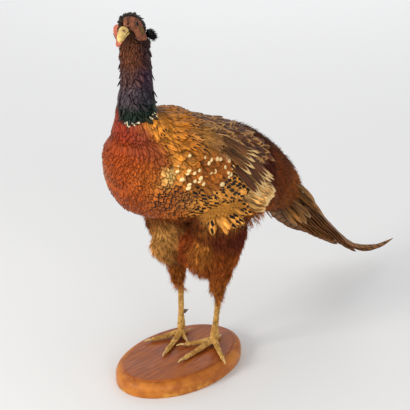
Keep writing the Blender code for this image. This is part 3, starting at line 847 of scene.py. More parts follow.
def make_coat_tree():
    """Scatters feathers over a region of the skin, aligned with the lie of the coat."""
    tree = bpy.data.node_groups.new("feather_coat", "GeometryNodeTree")
    for name, kind, value in (
        ("Skin", "Geometry", None), ("Feather", "Object", None), ("Region", "String", ""),
        ("Spacing", "Float", 0.004), ("Length", "Float", 0.015), ("Width", "Float", 0.009),
        ("Lift", "Float", 0.15), ("Stray", "Float", 0.2), ("Uneven", "Float", 0.2),
        ("Seed", "Int", 1), ("Finish", "Material", None),
    ):
        socket = tree.interface.new_socket(name, in_out="INPUT", socket_type=f"NodeSocket{kind}")
        if value is not None:
            socket.default_value = value
    tree.interface.new_socket("Coat", in_out="OUTPUT", socket_type="NodeSocketGeometry")
    w = Wiring(tree)
    given = tree.nodes.new("NodeGroupInput").outputs
    region = w.node("GeometryNodeInputNamedAttribute", {"Name": given["Region"]},
                    data_type="FLOAT")
    gap = w.times(given["Spacing"], given["Spacing"])
    most = w.over(SCATTER_TRIES, gap)
    scatter = tree.nodes.new("GeometryNodeDistributePointsOnFaces")
    scatter.distribute_method = "POISSON"
    for key, value in (("Mesh", given["Skin"]), ("Distance Min", given["Spacing"]),
                       ("Density Max", most), ("Density Factor", region),
                       ("Seed", given["Seed"])):
        tree.links.new(value, scatter.inputs[key])

    def chance(low, high, seed):
        node = tree.nodes.new("FunctionNodeRandomValue")
        node.data_type = "FLOAT"
        floats = [s for s in node.inputs if s.type == "VALUE"]
        for key, value in enumerate((low, high)):
            w.feed(floats, key, value)
        node.inputs["Seed"].default_value = seed
        return [s for s in node.outputs if s.type == "VALUE" and s.enabled][0]

    points = scatter.outputs["Points"]
    points = w.node("GeometryNodeStoreNamedAttribute",
                    {"Geometry": points, "Name": "shade", "Value": chance(0.0, 1.0, 11)},
                    data_type="FLOAT", domain="POINT")
    root = w.node("GeometryNodeInputNamedAttribute", {"Name": "OFBake"},
                  data_type="FLOAT_VECTOR")
    points = w.node("GeometryNodeStoreNamedAttribute",
                    {"Geometry": points, "Name": "root_place", "Value": root},
                    data_type="FLOAT_VECTOR", domain="POINT")
    lie = w.node("GeometryNodeInputNamedAttribute", {"Name": "lie"}, data_type="FLOAT_VECTOR")
    upright = w.node("FunctionNodeAlignRotationToVector",
                     {"Vector": scatter.outputs["Normal"]}, axis="Z")
    turned = w.node("FunctionNodeAlignRotationToVector",
                    {"Rotation": upright, "Vector": lie}, axis="Y", pivot_axis="Z")
    back_stray = w.times(given["Stray"], -1.0)
    twist = w.node("ShaderNodeCombineXYZ", {
        "X": w.times(given["Lift"], chance(0.5, 1.5, 23)),
        "Y": w.times(chance(back_stray, given["Stray"], 31), 0.5),
        "Z": chance(back_stray, given["Stray"], 37)})
    stray = w.node("FunctionNodeEulerToRotation", {"Euler": twist})
    turned = w.node("FunctionNodeRotateRotation", {"Rotation": turned, "Rotate By": stray},
                    rotation_space="LOCAL")
    least = w.less(1.0, given["Uneven"])
    size = chance(least, w.add(1.0, given["Uneven"]), 41)
    scale = w.node("ShaderNodeCombineXYZ", {
        "X": w.times(given["Width"], size),
        "Y": w.times(given["Length"], size),
        "Z": w.times(given["Length"], size)})
    feather = tree.nodes.new("GeometryNodeObjectInfo")
    tree.links.new(given["Feather"], feather.inputs["Object"])
    feather.inputs["As Instance"].default_value = True
    placed = w.node("GeometryNodeInstanceOnPoints", {
        "Points": points, "Instance": feather.outputs["Geometry"], "Rotation": turned,
        "Scale": scale})
    solid = w.node("GeometryNodeRealizeInstances", {"Geometry": placed})
    patch = w.node("ShaderNodeVectorMath", {
        0: w.node("GeometryNodeInputNamedAttribute", {"Name": "vane"},
                  data_type="FLOAT_VECTOR"),
        1: (0.5, 0.5, 0.0)}, operation="SUBTRACT")
    patch = w.node("ShaderNodeVectorMath", {0: patch, "Scale": PATCH}, operation="SCALE")
    home = w.node("GeometryNodeInputNamedAttribute", {"Name": "root_place"},
                  data_type="FLOAT_VECTOR")
    patch = w.node("ShaderNodeVectorMath", {0: home, 1: patch}, operation="ADD")
    solid = w.node("GeometryNodeRemoveAttribute", {"Geometry": solid, "Name": "OFBake"})
    solid = w.node("GeometryNodeStoreNamedAttribute",
                   {"Geometry": solid, "Name": "OFBake", "Value": patch},
                   data_type="FLOAT2", domain="CORNER")
    solid = w.node("GeometryNodeSetMaterial", {"Geometry": solid, "Material": given["Finish"]})
    tree.links.new(solid, tree.nodes.new("NodeGroupOutput").inputs["Coat"])
    return tree


KEPT_ATTRIBUTES = {"position", "plumage", "shade", "marking", "OFBake", "vane", "sharp_face"}


def grow_from(source, tree, name, settings):
    """Runs a Geometry Nodes tree on a copy of the source. The result is a plain mesh."""
    carrier = link(f"{name}_carrier", source.data.copy())
    grow = carrier.modifiers.new("grow", "NODES")
    grow.node_group = tree
    for item in tree.interface.items_tree:
        if item.in_out == "INPUT" and item.name in settings:
            grow[item.identifier] = settings[item.name]
    made = evaluated_copy(carrier, name)
    drop_attributes(made.data, [a.name for a in made.data.attributes
                                if a.name not in KEPT_ATTRIBUTES and a.name[0] != "."])
    give_material(made, settings["Finish"])
    return made


def finish_piece(piece, slot, *replaced):
    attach(piece, "root")
    if replaced:
        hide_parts(*replaced)


# The coats: name, region, feather shape, spacing, length, width, lift, stray, slot.
COATS = (
    ("coat_head", "head", "scale", 0.0013, 0.0062, 0.0026, 0.34, 0.45, "head_feather"),
    ("coat_crown", "crown", "pointed", 0.0024, 0.0085, 0.0040, 0.42, 0.75, "head_feather"),
    ("coat_neck", "neck", "scale", 0.0018, 0.0082, 0.0042, 0.17, 0.40, "neck_feather"),
    ("coat_neck_stray", "neck", "pointed", 0.0095, 0.0140, 0.0060, 0.34, 0.70,
     "neck_feather"),
    ("coat_collar", "collar", "scale", 0.0022, 0.0062, 0.0046, 0.26, 0.70, "neck_feather"),
    ("coat_breast", "breast", "silk", 0.0024, 0.0150, 0.0062, 0.06, 0.16, "breast_feather"),
    ("coat_scallop", "scallop", "broad", 0.0038, 0.0150, 0.0078, 0.09, 0.16,
     "breast_feather"),
    ("coat_flank", "flank", "long", 0.0056, 0.0240, 0.0110, 0.10, 0.30, "wing_feather"),
    ("coat_wing", "wing", "broad", 0.0058, 0.0170, 0.0130, 0.18, 0.40, "wing_feather"),
    ("coat_mantle", "mantle", "long", 0.0042, 0.0190, 0.0082, 0.13, 0.26,
     "breast_feather"),
    ("coat_tuft", "tuft", "wisp", 0.0036, 0.0300, 0.0230, 0.16, 0.34, "wing_feather"),
    ("coat_back", "back", "long", 0.0064, 0.0310, 0.0135, 0.13, 0.30, "wing_feather"),
    ("coat_rump", "rump", "hair", 0.0034, 0.0300, 0.0200, 0.15, 0.28, "breast_feather"),
    ("coat_thigh", "thigh", "fluff", 0.0043, 0.0240, 0.0190, 0.26, 0.30,
     "thigh_feather"),
)


def make_coats(skin, groups):
    shapes = {
        "scale": vane_shape("shape_scale", 4, 2, 2.6),
        "silk": vane_shape("shape_silk", 4, 2, 1.6, roof=0.03, sag=0.0),
        "broad": vane_shape("shape_broad", 5, 4, 2.2, roof=0.07, sag=0.0),
        "long": vane_shape("shape_long", 6, 4, 2.2, roof=0.20, sag=0.06),
        "pointed": vane_shape("shape_pointed", 5, 2, 1.5),
        "hair": plume_shape("shape_hair", 6, 10, 3),
        "wisp": plume_shape("shape_wisp", 6, 16, 6, curl=0.14, thin=0.011),
        "fluff": plume_shape("shape_fluff", 8, 24, 4, curl=0.18),
    }
    finishes = {
        "head": plumage_material("head_plush", groups, 0.45, gloss=0.1),
        "crown": plumage_material("crown_plush", groups, 0.35, tint=(0.012, 0.006, 0.003),
                                  gloss=0.1),
        "neck": plumage_material("neck_gloss", groups, 0.36, gloss=0.30),
        "collar": plumage_material("collar_cream", groups, 0.6, tint=(0.80, 0.70, 0.48)),
        "breast": plumage_material("breast_ticked", groups, 0.42, mark="Tick", mark_share=0.5,
                                   deep=0.82, streak=0.3, vary=0.35),
        "scallop": plumage_material("breast_scalloped", groups, 0.45, rim=0.96,
                                    rim_colour=(0.014, 0.008, 0.006)),
        "flank": plumage_material("flank_barred", groups, 0.5, mark="Diamond", mark_share=0.7,
                                  deep=0.66, streak=0.5),
        "wing": plumage_material("wing_spotted", groups, 0.42, mark="Comma",
                                 mark_colour=(0.88, 0.66, 0.32), mark_strength=0.95,
                                 mark_share=0.36, deep=0.35, vary=0.9),
        "mantle": plumage_material("mantle_dashed", groups, 0.45, mark="Dash",
                                   mark_strength=0.95, mark_share=0.62, streak=0.6),
        "tuft": plumage_material("shoulder_wisps", groups, 0.6, streak=0.6),
        "back": plumage_material("back_looped", groups, 0.5, mark="Arc", mark_strength=0.85,
                                 mark_share=0.62, mark_colour=(0.50, 0.26, 0.070), vary=0.9,
                                 streak=0.7),
        "rump": plumage_material("rump_hair", groups, 0.5, streak=0.75),
        "thigh": plumage_material("thigh_fluff", groups, 0.65, streak=0.75),
    }
    tree = make_coat_tree()
    for seed, (name, region, shape, gap, length, width, lift, stray, slot) in enumerate(COATS, 1):
        coat = grow_from(skin, tree, name, {
            "Feather": shapes[shape], "Region": f"on_{region}", "Spacing": gap,
            "Length": length, "Width": width, "Lift": lift, "Stray": stray, "Uneven": 0.18,
            "Seed": seed, "Finish": finishes[region]})
        finish_piece(coat, slot)
    for shape in shapes.values():
        bpy.data.objects.remove(shape)
    return tree


# ---------------------------------------------------------------- long feathers

QUILL_COLUMNS = (-1.0, -0.68, -0.36, -0.08, 0.0, 0.08, 0.36, 0.68, 1.0)
QUILL_ROWS = 26
QUILL_ROOT = 0.35  # a long feather's width at its root, as a share of its full width
QUILL_FULL = 0.35  # how far along it a long feather starts to taper
QUILL_THICK = 0.00035
QUILL_LEAST = 0.0004  # half the width of its tip
MAP_CELLS = 12  # the long feathers of a piece lie in a square of this many cells on their map


class Quills:
    """Long feathers, each a closed vane along its own spine, collected into one mesh."""

    def __init__(self):
        self.verts, self.faces, self.vane, self.cell = [], [], [], []
        self.colour, self.shade, self.marking = [], [], []
        self.count = 0

    def add(self, spine, normals, half_width, colour, marking, point, roof, ragged):
        spine, normals = np.asarray(spine, float), unit(normals)
        ahead = unit(np.gradient(spine, axis=0))
        across = unit(np.cross(ahead, normals))
        up = np.cross(across, ahead)
        rings, first = [], len(self.verts)
        rows = len(spine)
        for i in range(rows):
            v = i / (rows - 1)
            swell = math.sin(math.pi * min(v * 1.3, 0.5))
            wide = half_width * (QUILL_ROOT + (1 - QUILL_ROOT) * swell)
            wide *= max(1 - max(0.0, (v - QUILL_FULL) / (1 - QUILL_FULL)) ** point, 0.0) ** 0.6
            wide = max(wide, QUILL_LEAST)
            ring = []
            for layer in (1, -1):
                steps = QUILL_COLUMNS if layer == 1 else QUILL_COLUMNS[-2:0:-1]
                for u in steps:
                    edge = 1.0
                    if abs(u) == 1:
                        edge -= ragged * rng.random()
                    shaft = 1.6 * QUILL_THICK if u == 0 and layer == 1 else 0
                    rise = layer * QUILL_THICK * (1.15 - u * u) + shaft
                    place = (spine[i] + across[i] * u * wide * edge
                             + up[i] * (rise - roof * abs(u) ** 1.6 * wide))
                    ring.append(len(self.verts))
                    self.verts.append(place)
                    self.vane.append((0.5 + 0.5 * u, v))
            rings.append(ring)
        self.faces += stitched(rings)
        self.faces.append(rings[0])
        self.faces.append(rings[-1][::-1])
        made = len(self.verts) - first
        self.cell += [self.count] * made
        self.colour += [(*colour, 1.0)] * made
        self.shade += [rng.random()] * made
        self.marking += [marking] * made
        self.count += 1

    def build(self, name, material):
        obj = mesh_object(name, self.verts, self.faces, material)
        face_outwards(obj.data)
        put_attribute(obj.data, "plumage", "FLOAT_COLOR", self.colour)
        put_attribute(obj.data, "shade", "FLOAT", self.shade)
        put_attribute(obj.data, "marking", "FLOAT", self.marking)
        vane = obj.data.uv_layers.new(name="vane")
        bake = obj.data.uv_layers.new(name="OFBake")
        for loop in obj.data.loops:
            u, v = self.vane[loop.vertex_index]
            row, column = divmod(self.cell[loop.vertex_index], MAP_CELLS)
            vane.data[loop.index].uv = (u, v)
            bake.data[loop.index].uv = ((column + 0.08 + 0.84 * u) / MAP_CELLS,
                                        (row + 0.04 + 0.92 * v) / MAP_CELLS)
        return obj


def resampled(points, count):
    """The same line with evenly spaced points."""
    points = np.asarray(points, float)
    steps = np.r_[0, np.cumsum(np.linalg.norm(np.diff(points, axis=0), axis=1))]
    wanted = np.linspace(0, steps[-1], count)
    return np.stack([np.interp(wanted, steps, points[:, k]) for k in range(3)], 1)


def blade_of(node):
    """The centre line, the upward directions and the half width of a CAD tail feather."""
    points = node_points(node)
    middle = points.mean(0)
    axis = np.linalg.svd(points - middle, full_matrices=False)[2][0]
    axis = axis if axis[1] > 0 else -axis
    reach = (points - middle) @ axis
    order = np.argsort(reach)
    points, reach = points[order], reach[order]
    groups = np.split(np.arange(len(reach)), np.where(np.diff(reach) > 0.004)[0] + 1)
    rings = [points[g] for g in groups if len(g) >= 4]
    centres, ups, wides = [], [], []
    for ring in rings[1:]:
        gaps = np.linalg.norm(ring[:, None] - ring[None], axis=2)
        a, b = np.unravel_index(gaps.argmax(), gaps.shape)
        across = ring[b] - ring[a]
        across = across if across[0] > 0 else -across
        centres.append((ring[a] + ring[b]) / 2)
        up = np.cross(across, axis)
        ups.append(up if up[2] > 0 else -up)
        wides.append(np.linalg.norm(across) / 2)
    return np.array(centres), unit(np.array(ups)), max(wides)


TAIL_PAIRS = 5
TAIL_OLIVE = (0.300, 0.128, 0.030)
TAIL_RUST = (0.20, 0.066, 0.018)
TAIL_BAR_GAP = 0.017
TAIL_LONG = 0.33  # feathers longer than this end in a fine point


def tail_material(groups):
    """Long tail feathers: olive brown, with narrow black bars and a rusty fringe."""
    w, shader, material = new_finish("tail_barred", Roughness=0.5, Specular_IOR_Level=0.15)
    vane = w.node("ShaderNodeUVMap", {}, uv_map="vane")
    shade = w.attribute("shade")
    marks = w.group(groups["vane"], {"Vane": vane, "Shade": shade})
    across, along, _ = w.split(vane)
    aside = w.math("ABSOLUTE", w.less(w.times(across, 2), 1))
    length = w.attribute("marking")
    turn = w.times(w.times(along, length), 2 * math.pi / TAIL_BAR_GAP)
    turn = w.less(turn, w.times(aside, 1.5))
    turn = w.add(turn, w.times(marks["Streak"], 2.2))
    bars = w.ramp(w.math("SINE", turn), 0.62, 0.86)
    bars = w.times(bars, w.ramp(aside, 0.95, 0.55))
    light = w.times(w.add(w.times(shade, 0.4), 0.8),
                   w.ramp(marks["Streak"], 0.25, 0.75, 0.5, 1.45))
    colour = w.mix(w.ramp(aside, 0.45, 0.85), w.attribute("plumage", "Color"), TAIL_RUST)
    colour = w.shaded(colour, light)
    colour = w.mix(w.times(bars, 0.92), colour, (0.018, 0.011, 0.009))
    colour = w.mix(w.times(marks["Shaft"], 0.6), colour, (0.10, 0.055, 0.03))
    connect(w, colour, shader["Base Color"])
    add_bump(w, marks["Barbs"], 0.3, 0.0002, shader["Normal"])
    return material


def make_tail(groups):
    """The CAD blades' lines, each with a detailed feather, and one more between each two."""
    quills = Quills()
    nodes = []
    for sign in ("left", "right"):
        lines = []
        for number in range(1, TAIL_PAIRS + 1):
            node = f"tail_{number}_{sign}"
            nodes.append(node)
            centres, ups, wide = blade_of(node)
            lines.append((resampled(centres, QUILL_ROWS), unit(resampled(ups, QUILL_ROWS)), wide))
        for k, (spine, ups, wide) in enumerate(lines):
            full = np.linalg.norm(np.diff(spine, axis=0), axis=1).sum()
            point = 0.45 if full > TAIL_LONG else 1.6
            quills.add(spine, ups, wide, TAIL_OLIVE, full, point, roof=0.10, ragged=0.16)
            if k + 1 < len(lines):
                other = lines[k + 1]
                between = (spine + other[0]) / 2 + ups * 0.0006
                length = np.linalg.norm(np.diff(between, axis=0), axis=1).sum()
                quills.add(between, ups, wide * 0.95, TAIL_OLIVE, length, 1.9, roof=0.10,
                           ragged=0.16)
    tail = quills.build("tail_feathers", tail_material(groups))
    finish_piece(tail, "tail_feather", *nodes)


def laid_on(tree, start, end, lift_root, lift_tip, droop):
    """A line over the skin from start to end, lifted off it, with the skin's normals."""
    start, end = np.array(start, float), np.array(end, float)
    spine, ups = [], []
    for share in np.arange(QUILL_ROWS) / (QUILL_ROWS - 1):
        place = start + (end - start) * share
        found, normal, _, _ = tree.find_nearest(Vector(place))
        outward = np.array(normal)
        out = max(float((place - np.array(found)) @ outward), 0.0) if share > 0.75 else 0.0
        lift = lift_root + (lift_tip - lift_root) * share
        spine.append(np.array(found) + outward * (lift + min(out, droop)))
        ups.append(outward)
    spine = resampled(spine, QUILL_ROWS)
    for _ in range(3):
        spine[1:-1] = (spine[:-2] + 2 * spine[1:-1] + spine[2:]) / 4
    ups = np.array(ups)
    for _ in range(6):
        ups[1:-1] = (ups[:-2] + ups[1:-1] + ups[2:]) / 3
    return spine, ups


# The folded wing's long feathers: a name, the first and last feather's root, their tips, the
# number, the half width, the lift at root and tip, and the colour.
WING_ROWS = (
    ("tip", (0.084, 0.062, 0.292), (0.083, 0.044, 0.272), (0.070, 0.120, 0.256),
     (0.078, 0.098, 0.236), 7, 0.0092, 0.0030, 0.0056, (0.720, 0.380, 0.110)),
    ("quills", (0.070, 0.030, 0.350), (0.084, 0.008, 0.328), (0.078, 0.108, 0.284),
     (0.084, 0.074, 0.268), 7, 0.0042, 0.0034, 0.0070, (0.095, 0.028, 0.007)),
    ("tertials", (0.062, 0.016, 0.362), (0.078, 0.000, 0.350), (0.076, 0.072, 0.322),
     (0.084, 0.044, 0.308), 5, 0.0044, 0.0050, 0.0085, (0.125, 0.045, 0.011)),
)


def make_wings(skin, groups):
    material = plumage_material("quill_edged", groups, 0.5, rim=0.85,
                                rim_colour=(0.78, 0.52, 0.22), streak=0.8, deep=0.6)
    tree = BVHTree.FromObject(skin, bpy.context.evaluated_depsgraph_get())
    for side, sign in SIDES:
        quills = Quills()
        for _, root_a, root_b, tip_a, tip_b, number, wide, low, high, colour in WING_ROWS:
            flip = np.array((sign, 1, 1))
            for k in range(number):
                share = 1 - k / (number - 1)
                root = (np.array(root_a) + (np.array(root_b) - root_a) * share) * flip
                tip = (np.array(tip_a) + (np.array(tip_b) - tip_a) * share) * flip
                root, tip = root + rng.normal(0, 0.0008, 3), tip + rng.normal(0, 0.0016, 3)
                over = 0.0010 * k / number
                spine, ups = laid_on(tree, root, tip, low + over, high + over, droop=0.004)
                quills.add(spine, ups, wide * (1 + 0.15 * share), colour, 1.0, 3.4, roof=0.22,
                           ragged=0.10)
        finish_piece(quills.build(f"wing_quills_{side}", material), "wing_feather")


COVERT_COUNT = 34
COVERT_COLOURS = ((0.24, 0.105, 0.026), (0.34, 0.135, 0.028))


def make_tail_coverts(skin, groups):
    """Pointed feathers over and under the root of the tail, with their roots on the trunk."""
    material = plumage_material("covert_streaked", groups, 0.55, rim=0.55,
                                rim_colour=(0.35, 0.22, 0.10), streak=0.7, deep=0.6)
    tree = BVHTree.FromObject(skin, bpy.context.evaluated_depsgraph_get())
    quills = Quills()
    trunk_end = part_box("trunk")[1].y
    for k in range(COVERT_COUNT):
        turn = math.pi * (0.02 + 0.96 * rng.random()) * (1 if k % 2 else -1)
        back = trunk_end - 0.018 - 0.036 * rng.random()
        side = math.sin(turn) * 0.034
        up = min(math.cos(turn) * 0.032, 0.012)
        start = np.array((side, back, 0.205 + up - 0.8 * (back - 0.24)))
        found, normal, _, _ = tree.find_nearest(Vector(start))
        ahead = unit(np.array((0.10 * np.sign(side), 0.74, -0.67)) + rng.normal(0, 0.05, 3))
        length = (0.062 if up > 0 else 0.050) * (0.75 + 0.5 * rng.random())
        normal = np.array(normal)
        begin = np.array(found) + normal * 0.001
        spine = [begin + ahead * length * s + normal * 0.005 * math.sin(math.pi * s)
                 - np.array((0, 0, 0.004)) * s * s for s in np.linspace(0, 1, QUILL_ROWS)]
        ups = unit(normal + 0.4 * np.array((0, 0, 1 if up > -0.01 else -1)))
        colour = COVERT_COLOURS[0 if rng.random() > 0.4 else 1]
        quills.add(spine, np.tile(ups, (QUILL_ROWS, 1)), 0.0062, colour, 1.0, 1.7, roof=0.16,
                   ragged=0.25)
    finish_piece(quills.build("tail_coverts", material), "tail_feather")


# ---------------------------------------------------------------- head pieces

SIDES = (("left", 1), ("right", -1))
EYE_RADIUS = 0.0044
EYE_OUT = {"left": 0.0014, "right": 0.0022}  # how far each eye stands out of the skin
SMOOTH_LEVELS = 2
NOSTRIL_AT = (0.0042, -0.0232, -0.0026)  # in the head's own frame


def smooth_copy(node, name, material, slot):
    """A CAD node's shape, welded and subdivided."""
    piece = welded_copy((node,), name)
    round_off = piece.modifiers.new("round", "SUBSURF")
    round_off.levels = round_off.render_levels = SMOOTH_LEVELS
    piece = evaluated_copy(piece, name)
    piece.data.shade_smooth()
    give_material(piece, material)
    finish_piece(piece, slot, node)


def horn_material(name, colour, tip_colour, rough, nostrils=False):
    """Beak and claw horn: growth lines and darker stains; on the beak, painted shade in the
    nostrils.
    """
    w, shader, material = new_finish(name, Roughness=rough, Coat_Weight=0.15)
    place = w.place()
    cloud = w.noise(place, 190.0, 4.0)
    stretched = w.node("ShaderNodeMapping", {"Vector": place, "Scale": (1.0, 1.0, 4.0)})
    lines = w.noise(stretched, 700.0, 2.0)
    mixed = w.mix(w.ramp(cloud, 0.35, 0.68), colour, tip_colour)
    mixed = w.mix(w.times(w.ramp(lines, 0.5, 0.75), 0.35), mixed,
                  tuple(0.5 * c for c in colour))
    height = lines
    if nostrils:
        for _, sign in SIDES:
            nostril = tuple(from_head(sign * NOSTRIL_AT[0], *NOSTRIL_AT[1:]))
            away = w.node("ShaderNodeVectorMath", {0: place, 1: nostril}, "Value",
                          operation="DISTANCE")
            # Painted shade: each nostril darkens towards its middle and is near black in it, as
            # shade in its hollow.
            mixed = w.mix(w.ramp(away, 0.0050, 0.0020), mixed, (0.46, 0.25, 0.055))
            mixed = w.mix(w.ramp(away, 0.0020, 0.0009), mixed, (0.07, 0.035, 0.012))
            height = w.less(height, w.ramp(away, 0.0020, 0.0008, 0.0, 3.0))
    connect(w, mixed, shader["Base Color"])
    connect(w, w.ramp(cloud, 0.2, 0.8, rough - 0.1, rough + 0.2), shader["Roughness"])
    add_bump(w, height, 0.35, 0.0003, shader["Normal"])
    return material


def bare_skin_material(name, colour, deep, spots):
    """Bare warty skin, darker in its folds."""
    w, shader, material = new_finish(name, Roughness=0.62)
    place = w.place()
    cloud = w.noise(place, 160.0, 4.0)
    fine = w.noise(place, 1100.0, 3.0)
    mixed = w.mix(w.ramp(cloud, 0.38, 0.66), colour, deep)
    mixed = w.mix(w.times(w.ramp(fine, 0.52, 0.68), 0.65), mixed, spots)
    connect(w, mixed, shader["Base Color"])
    add_bump(w, w.add(fine, w.times(cloud, 2.0)), 0.6, 0.0006,
             shader["Normal"])
    return material


def dome_shape(name, sides, high):
    """A small closed wart: three rings, a flat top and a flat underside."""
    verts, places = [], []
    for size, up in ((0.5, -0.15), (0.42, high * 0.6), (0.18, high)):
        for k in range(sides):
            turn = 2 * math.pi * k / sides
            verts.append((size * math.cos(turn), size * math.sin(turn), up))
            places.append((0.5 + size * math.cos(turn), 0.5 + size * math.sin(turn)))
    return template(name, verts, banded(3, sides), places)


def ready_to_scatter(piece, way):
    """Gives a piece the map and attributes that the coat tree reads."""
    places, normals = mesh_arrays(piece.data)
    unwrap(piece)
    lie = np.tile(np.asarray(way, float), (len(places), 1))
    put_attribute(piece.data, "lie", "FLOAT_VECTOR", along_skin(lie, normals))
    return places, normals


def smooth_outline(points, count):
    """A closed smooth curve through the points, evenly sampled."""
    points = np.array(points)
    total = len(points)
    curve = []
    for i in range(total):
        p0, p1, p2, p3 = (points[(i + k) % total] for k in (-1, 0, 1, 2))
        for t in np.linspace(0, 1, 8, endpoint=False):
            curve.append(0.5 * (2 * p1 + (p2 - p0) * t + (2 * p0 - 5 * p1 + 4 * p2 - p3) * t * t
                                + (3 * p1 - p0 - 3 * p2 + p3) * t ** 3))
    curve = np.array(curve + curve[:1])
    steps = np.r_[0, np.cumsum(np.linalg.norm(np.diff(curve, axis=0), axis=1))]
    wanted = np.linspace(0, steps[-1], count, endpoint=False)
    return np.stack([np.interp(wanted, steps, curve[:, k]) for k in (0, 1)], 1)


FACE_MIDDLE = np.array((0.0015, -0.0035))
FACE_POINTS, FACE_STEPS = 132, 24
FACE_UNDER = 0.0022  # how deep the pad's underside lies in the head
FACE_THICK = {"left": 0.0030, "right": 0.0062}
EYE_AT = np.array((-0.0012, 0.0022))  # the eye in the head's own y and z
STRIPE_WAY = np.array((0.57, -0.82))  # the feathered stripe, from behind the eye down and back
STRIPE_ACROSS = np.array((0.82, 0.57))


def face_shell(side, sign, skin_tree):
    """The bare skin as a thin warty pad that lies on the head within its outline."""
    edge = smooth_outline(FACE_OUTLINE, FACE_POINTS)
    if side == "right":
        edge = edge * (0.90, 0.84) + (0.0022, -0.0040)
    verts, rings = [], []
    outward = HEAD_X * sign

    def on_head(y, z):
        start = from_head(sign * 0.05, y, z)
        found, _, _, _ = skin_tree.ray_cast(Vector(start), Vector(-outward))
        if found is None:
            return 0.004
        return max(float((np.array(found) - EYE_MIDDLE) @ outward), 0.003)

    for i in range(FACE_STEPS + 1):
        t = (i / FACE_STEPS) ** 0.9
        rise = FACE_THICK[side] * (1 - t ** 6) ** 0.5 + 0.0002
        ring = []
        for y, z in FACE_MIDDLE + (edge - FACE_MIDDLE) * t:
            if i == 0 and ring:
                break
            near_eye = math.exp(-((y - EYE_AT[0]) ** 2 + (z - EYE_AT[1]) ** 2) / 0.0055 ** 2)
            ring.append(len(verts))
            verts.append(from_head(sign * (on_head(y, z) + rise - 0.0008 * near_eye), y, z))
        rings.append(ring)
    for t in (1.0, 0.6):
        ring = []
        for y, z in FACE_MIDDLE + (edge - FACE_MIDDLE) * t:
            ring.append(len(verts))
            verts.append(from_head(sign * (on_head(y, z) - FACE_UNDER), y, z))
        rings.append(ring)
    rings.append([len(verts)])
    verts.append(from_head(sign * (on_head(*FACE_MIDDLE) - FACE_UNDER), *FACE_MIDDLE))
    shell = mesh_object(f"face_{side}", verts, stitched(rings))
    face_outwards(shell.data)
    shell.data.uv_layers.new(name="OFBake")
    return shell


def make_face(skin, groups, tree):
    """The bare red skin round the eye, with its warts, and the stripe of feathers in it."""
    # One bare skin in two copies: the right side's is painted brighter than the left side's, as
    # painted light on the right and painted shade on the left.
    left = bare_skin_material("face_skin_left", (0.360, 0.120, 0.048), (0.150, 0.042, 0.020),
                              (0.075, 0.022, 0.012))
    right = bare_skin_material("face_skin_right", (0.620, 0.200, 0.120), (0.520, 0.120, 0.070),
                               (0.340, 0.070, 0.040))
    wart = dome_shape("shape_wart", 6, 0.50)
    stripe_tuft = plume_shape("shape_stripe", 4, 12, 9, thin=0.03)
    stripe = plumage_material("stripe_tuft", groups, 0.6, streak=0.7)
    skin_tree = BVHTree.FromObject(skin, bpy.context.evaluated_depsgraph_get())
    for (side, sign), material in zip(SIDES, (left, right)):
        patch = face_shell(side, sign, skin_tree)
        places, normals = ready_to_scatter(patch, HEAD_Y - 0.4 * HEAD_Z)
        lumps = 0.00045 * wander(places, 420, 4) + 0.0003 * wander(places, 900, 6)
        places = places + normals * lumps[:, None]
        move_points(patch.data, places)
        local = to_head(places)
        off_eye = np.stack([local[:, 1], local[:, 2]], 1) - EYE_AT
        run = off_eye @ STRIPE_WAY
        gap = np.abs(off_eye @ STRIPE_ACROSS + 0.0020)
        outer = (local[:, 0] * sign > 0.004) & ((normals @ HEAD_X) * sign > 0.2)
        on_stripe = (gap < 0.0023) & (run > 0.0034) & (run < 0.0140) & outer
        put_attribute(patch.data, "on_stripe", "FLOAT", on_stripe * 1.0)
        put_attribute(patch.data, "on_warts", "FLOAT", (~on_stripe & outer) * 1.0)
        tone = np.clip(0.5 + 0.9 * wander(places, 300, 8), 0, 1)
        ochre, dark = np.array((0.52, 0.38, 0.13)), np.array((0.030, 0.018, 0.010))
        colours = dark + (ochre - dark) * tone[:, None]
        put_attribute(patch.data, "plumage", "FLOAT_COLOR", np.c_[colours, np.ones(len(tone))])
        put_attribute(patch.data, "marking", "FLOAT", np.ones(len(tone)))
        warts = grow_from(patch, tree, f"face_warts_{side}", {
            "Feather": wart, "Region": "on_warts", "Spacing": 0.00095, "Length": 0.0011,
            "Width": 0.0010, "Lift": 0.0, "Stray": 0.5, "Uneven": 0.4, "Seed": 21,
            "Finish": material})
        finish_piece(warts, "face_skin")
        tufts = grow_from(patch, tree, f"face_stripe_{side}", {
            "Feather": stripe_tuft, "Region": "on_stripe", "Spacing": 0.0007,
            "Length": 0.0042, "Width": 0.0030, "Lift": 0.25, "Stray": 0.3, "Uneven": 0.3,
            "Seed": 22, "Finish": stripe})
        finish_piece(tufts, "head_feather")
        drop_attributes(patch.data, ("lie", "on_stripe", "on_warts", "plumage", "marking"))
        patch.data.materials.append(material)
        finish_piece(patch, "face_skin", f"wattle_{side}")
    for shape in (wart, stripe_tuft):
        bpy.data.objects.remove(shape)


